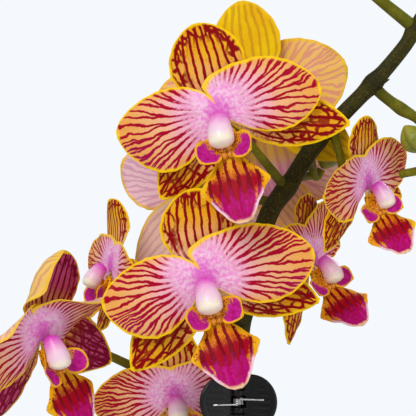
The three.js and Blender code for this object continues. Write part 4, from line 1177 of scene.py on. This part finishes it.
def liner_look():
    n = Nodes("liner_skin", Specular_IOR_Level=0.4)
    at = n.place()
    cloud, fine = n.noise(at, 0.06), n.noise(at, 1.2)
    n.bump(fine, 0.08, 0.4)
    colour = n.blend(n.step(cloud), "2C2F2D", "434745")
    return n.finish(colour, n.step(fine, 0.3, 0.7, 0.5, 0.66))


def bark_look():
    n = Nodes("bark_skin", Specular_IOR_Level=0.2)
    at = n.place()
    cloud, fine = n.noise(at, 0.07, 3.0), n.noise(at, 0.9, 4.0)
    grain = n.noise(n.stretched(at, 0.4, 1.6, 1.6), 0.7, 4.0)
    colour = n.blend(n.step(cloud, 0.35, 0.65), "4A2E1B", "82563A")
    colour = n.blend(n.step(grain, 0.5, 0.68), colour, "A67A52")
    colour = n.blend(n.step(fine, 0.56, 0.4), colour, "2E1B10")
    n.bump(n.math("ADD", fine, grain), 0.7, 0.9)
    return n.finish(colour, 0.9)


BARK_CHIPS = 230


def build_pots():
    pot = Shape()
    inner = lambda z: outer_radius(z) - POT_WALL
    top = POT_HIGH[2]
    profile = round_off([(0.4, 0), (BASE_R - 0.4, 0), (outer_radius(top), top), (inner(top), top),
                         (inner(POT_FLOOR), POT_FLOOR), (0.4, POT_FLOOR)], 2.0, 8)
    pot.rings(lathe_rings(finer(profile, 5.0), 160))
    pot.make("cover_pot_glazed", [glaze_look()], slot="glaze", replaces=["cover_pot"])

    liner = Shape()
    outside = lambda z: outer_radius(z) - POT_WALL - LINER_GAP
    inside = lambda z: outside(z) - LINER_WALL
    low, rim = LINER_LOW[2], LINER_HIGH[2]
    hole = 8.0
    profile = [(hole, low), (outside(low + 4) - 4, low), (outside(low + 4), low + 4)]
    for z in np.arange(low + 12, rim - 8, 12):
        profile += [(outside(z) - 0.1, z - 1.2), (outside(z) - 0.6, z), (outside(z) - 0.1, z + 1.2)]
    lip_r, floor = outside(rim) + 0.7, low + LINER_WALL
    profile += [(outside(rim - 4), rim - 4), (lip_r, rim - 3.4), (lip_r, rim), (inside(rim), rim),
                (inside(low + 5.4), low + 5.4), (inside(low) - 4, floor), (hole, floor),
                (hole, low + 0.1)]
    liner.rings(lathe_rings(finer(round_off(profile, 0.5, 3), 8.0), 120), closed_loop=True)
    liner.make("nursery_pot_moulding", [liner_look()], slot="liner_plastic",
               replaces=["nursery_pot"])

    # Bark: a rough bed, and chips scattered over it.
    bark = Shape()
    room = inside(BARK_TOP) - 0.8
    low = BARK_LOW[2]
    bed = [(0.5, low), (inside(low) - 5, low)]
    bed += [(inside(z) - 0.6, z) for z in (low + 5, BARK_TOP - 5)]
    bed += [(r, BARK_TOP - 4) for r in np.linspace(room - 1, 0.5, 12)]
    rings = lathe_rings(bed, 72)
    lumps = np.sin(rings[..., 0] * 0.7) * np.sin(rings[..., 1] * 0.6 + 1)
    rings[4:-1, :, 2] += 1.2 * lumps[4:-1]
    bark.rings(rings)
    for k in range(BARK_CHIPS):
        length, width, height = RNG.uniform(8, 17), RNG.uniform(5, 9), RNG.uniform(2.4, 5)
        reach = (room - length * 0.55) * math.sqrt(RNG.uniform(0, 1))
        turn = RNG.uniform(0, 2 * np.pi)
        place = np.array([reach * math.cos(turn), reach * math.sin(turn),
                          BARK_TOP - 3.5 + RNG.uniform(0, 3.4)])
        if np.hypot(place[0], place[1] - CROWN_Y) < CROWN_R + 3:
            continue
        way = unit([math.cos(k * 2.4), math.sin(k * 2.4), RNG.uniform(-0.25, 0.25)])
        up = unit(np.array([0, 0, 1.0]) + RNG.uniform(-0.3, 0.3, 3))
        wide = unit(np.cross(way, up))
        up = np.cross(wide, way)
        stops = np.array([-0.5, -0.47, -0.3, 0, 0.3, 0.47, 0.5])
        ends = np.array([0.5, 0.85, 1, 1.05, 1, 0.85, 0.5])
        rows = []
        for s, share in zip(stops, ends):
            section = rounded(12, width / 2, height / 2, 3.5)
            section *= share * RNG.uniform(0.82, 1.1, (12, 1))
            rows.append(place + way * s * length + section[:, :1] * wide + section[:, 1:] * up)
        bark.rings(np.array(rows))
    bark.make("bark_mix_chips", [bark_look()], slot="bark", replaces=["bark_mix"])


# ---- Crown, leaves and roots ----------------------------------------------------------------
LEAVES = [
    dict(side=-1, height=3, turn=-6, scale=1, rise=38, bend=62),
    dict(side=1, height=5, turn=5, scale=0.97, rise=42, bend=64),
    dict(side=-1, height=12, turn=4, scale=0.86, rise=52, bend=60),
    dict(side=1, height=14, turn=-4, scale=0.8, rise=56, bend=58),
    dict(side=-1, height=20, turn=-14, scale=0.48, rise=70, bend=30),
]
ROOTS = [[(5, -7, 3), (14, -20, 9), (24, -38, 6), (28, -46, -10)],
         [(6, 6, 3), (15, 18, 18), (18, 37, 31), (12, 52, 35)]]


def leaf_look():
    n = Nodes("leaf_skin", Specular_IOR_Level=0.5, Coat_Weight=0.12, Coat_Roughness=0.25)
    flat, front = n.vector("flat"), n.value("front")
    long_grain = n.stretched(flat, 0.05, 1.0, 1.0)
    cloud, fine = n.noise(flat, 0.05, 3.0), n.noise(long_grain, 1.1, 3.0)
    speck = n.noise(flat, 1.4)
    face = n.blend(n.step(cloud), "23491A", "38652A")
    face = n.blend(n.step(fine, 0.45, 0.62), face, "4C7A35", 0.45)
    middle = n.step(n.math("ABSOLUTE", n.value("off")), 1.6, 0.3)
    face = n.blend(middle, face, "5E8B40", 0.6)
    face = n.blend(n.step(n.value("rim"), 1.2, 0.2), face, "5F7F3A", 0.5)
    face = n.blend(n.step(n.value("along"), 0.1, 0.0), face, "7C9652")
    back = n.blend(n.step(cloud), "4C7040", "638552")
    back = n.blend(n.step(fine, 0.45, 0.62), back, "7C9A64", 0.4)
    colour = n.blend(n.step(front, 0.35, 0.65), back, face)
    n.bump(n.math("MULTIPLY_ADD", fine, 0.8, speck), 0.15, 0.4)
    return n.finish(colour, n.step(speck, 0.3, 0.7, 0.3, 0.42))


def crown_look():
    n = Nodes("crown_skin", Specular_IOR_Level=0.35)
    at = n.place()
    streak = n.noise(n.stretched(at, 1.0, 1.0, 0.15), 0.9, 3.0)
    cloud = n.noise(at, 0.12)
    colour = n.blend(n.step(cloud, 0.35, 0.65), "55682D", "6F7C3A")
    colour = n.blend(n.step(streak, 0.48, 0.66), colour, "8A7B4A", 0.6)
    n.bump(streak, 0.4, 0.6)
    return n.finish(colour, 0.6)


def root_look():
    n = Nodes("root_skin", Specular_IOR_Level=0.25)
    at, along = n.place(), n.value("along")
    fine, cloud = n.noise(at, 1.1, 3.0), n.noise(at, 0.2)
    silver = n.blend(n.step(cloud), "A5AC95", "BEC2AE")
    silver = n.blend(n.step(fine, 0.5, 0.68), silver, "7F8A62", 0.5)
    tip = n.blend(n.step(fine), "6C8A2C", "88A040")
    n.bump(fine, 0.25, 0.6)
    return n.finish(n.blend(n.step(along, 0.86, 0.95), silver, tip), 0.75)


LEAF_LENGTH, LEAF_HALF_WIDTH = 150, 26


def build_foliage():
    look = leaf_look()
    for number, leaf in enumerate(LEAVES, 1):
        shape = Shape()
        length = LEAF_LENGTH * leaf["scale"]
        half = lambda u: LEAF_HALF_WIDTH * leaf["scale"] * np.maximum(
            oval(u, 0.6, 0.34, 0.95, 0.55), 0.12 * (1 - u**6))
        points, flat, margin, facing = blade(
            length, [half, half], rise=leaf["rise"], bend=leaf["bend"], reflex=-0.22, groove=1.6,
            groove_width=3.2, keel=1.0, ripple=(0.5, 1.4), rows=60, cols=17, seed=number * 2.1,
            thickness=2.4)
        turn = math.radians(leaf["turn"])
        start = (leaf["side"] * CROWN_R * 0.55, CROWN_Y, BARK_TOP + leaf["height"])
        along = (leaf["side"] * math.cos(turn), math.sin(turn), 0)
        shape.rings(aim(points, start, along, (0, 0, 1)), front=facing, rim=margin,
                    along=flat[..., 0] / length, off=flat[..., 1],
                    flat=with_third(flat, number * 40))
        shape.make(f"leaf_{number}_blade", [look], slot="leaf", replaces=[f"leaf_{number}"])

    crown = Shape()
    rise = CROWN_HIGH[2] - CROWN_LOW[2]
    stops = np.linspace(0, 1, 30)
    radii = CROWN_R * np.interp(stops, [0, 0.3, 0.72, 0.94, 1], [0.7, 1, 0.85, 0.5, 0.12])
    path = np.column_stack([np.zeros(30), np.full(30, CROWN_Y), CROWN_LOW[2] + stops * rise])
    rings = tube_rings(path, radii, 48)
    turn = full_turn(48)
    folds = 1 + 0.05 * np.sin(2 * turn[None, :] + 9 * stops[:, None]) ** 3
    middle = path[:, None]
    crown.rings(middle + (rings - middle) * np.stack([folds, folds, np.ones_like(folds)], -1))
    crown.make("plant_crown_sheaths", [crown_look()], slot="crown", replaces=["plant_crown"])

    look = root_look()
    for number, places in enumerate(ROOTS, 1):
        shape = Shape()
        path, at = spline([(x, CROWN_Y + y, BARK_TOP + z) for x, y, z in places], 16)
        radii = np.interp(at, [0, 2, 2.75, 2.93, 3], [2.4, 2.4, 2.0, 1.3, 0.4])
        radii = radii * (1 + 0.05 * np.sin(at * 11 + number))
        rings = tube_rings(path, radii, 16)
        shape.rings(rings, along=at[:, None] / 3)
        shape.make(f"aerial_root_{number}_skin", [look], slot="root",
                   replaces=[f"aerial_root_{number}"])


# ---- Studio ---------------------------------------------------------------------------------
CAMERA_DISTANCE = 900
VIEW_WIDTH = 129.0
VIEW_MIDDLE = (-9.3, 61.5)  # right of the clip and above it


def build_camera():
    data = bpy.data.cameras.new("camera")
    data.lens = data.sensor_width * CAMERA_DISTANCE / VIEW_WIDTH
    data.clip_start = 0.05
    camera = bpy.data.objects.new("camera", data)
    camera.location = Vector(from_datum((VIEW_MIDDLE[0], -CAMERA_DISTANCE, VIEW_MIDDLE[1]))) * MM
    camera.rotation_euler = (math.pi / 2, 0, 0)
    show(camera)
    bpy.context.scene.camera = camera


def add_light(name, place, power, size):
    data = bpy.data.lights.new(name, "AREA")
    data.energy, data.size = power, size
    light = bpy.data.objects.new(name, data)
    light.location = Vector(place)
    target = Vector((0, 0, CLIP_Z * MM))
    light.rotation_euler = (target - light.location).to_track_quat("-Z", "Y").to_euler()
    show(light)


def build_studio():
    scene = bpy.context.scene
    scene.view_settings.view_transform = "Standard"
    scene.view_settings.look = "None"
    world = bpy.data.worlds.new("studio")
    scene.world = world
    world.use_nodes = True
    tree = world.node_tree
    tree.nodes.clear()
    sight = tree.nodes.new("ShaderNodeLightPath")
    seen, lit = tree.nodes.new("ShaderNodeBackground"), tree.nodes.new("ShaderNodeBackground")
    seen.inputs["Color"].default_value = rgb("F5F9FD")
    lit.inputs["Color"].default_value = rgb("F6F8FF")
    lit.inputs["Strength"].default_value = 0.55
    both, out = tree.nodes.new("ShaderNodeMixShader"), tree.nodes.new("ShaderNodeOutputWorld")
    tree.links.new(sight.outputs["Is Camera Ray"], both.inputs[0])
    tree.links.new(lit.outputs[0], both.inputs[1])
    tree.links.new(seen.outputs[0], both.inputs[2])
    tree.links.new(both.outputs[0], out.inputs["Surface"])
    add_light("key_light", (-0.5, -1.1, 1.2), 11, 0.6)
    add_light("fill_light", (1.0, -0.7, 0.5), 2.5, 0.9)
    add_light("rim_light", (0.3, 1.0, 1.0), 6, 0.7)

    floor_look = Nodes("studio_floor", Roughness=0.7)
    grain = floor_look.noise(floor_look.place(), 0.02, 3.0)
    floor_look.finish(floor_look.blend(grain, "E9EAEC", "F1F1F2"))
    floor = Shape()
    floor.rings(lathe_rings([(1, -0.2), (1050, -0.2), (1050, -6), (1, -6)], 128))
    floor.make("floor", [floor_look.material], body=None)


# ---- The object -----------------------------------------------------------------------------
build_camera()
build_studio()
build_flowers()
build_spikes()
build_stake_and_clip()
build_pots()
build_foliage()
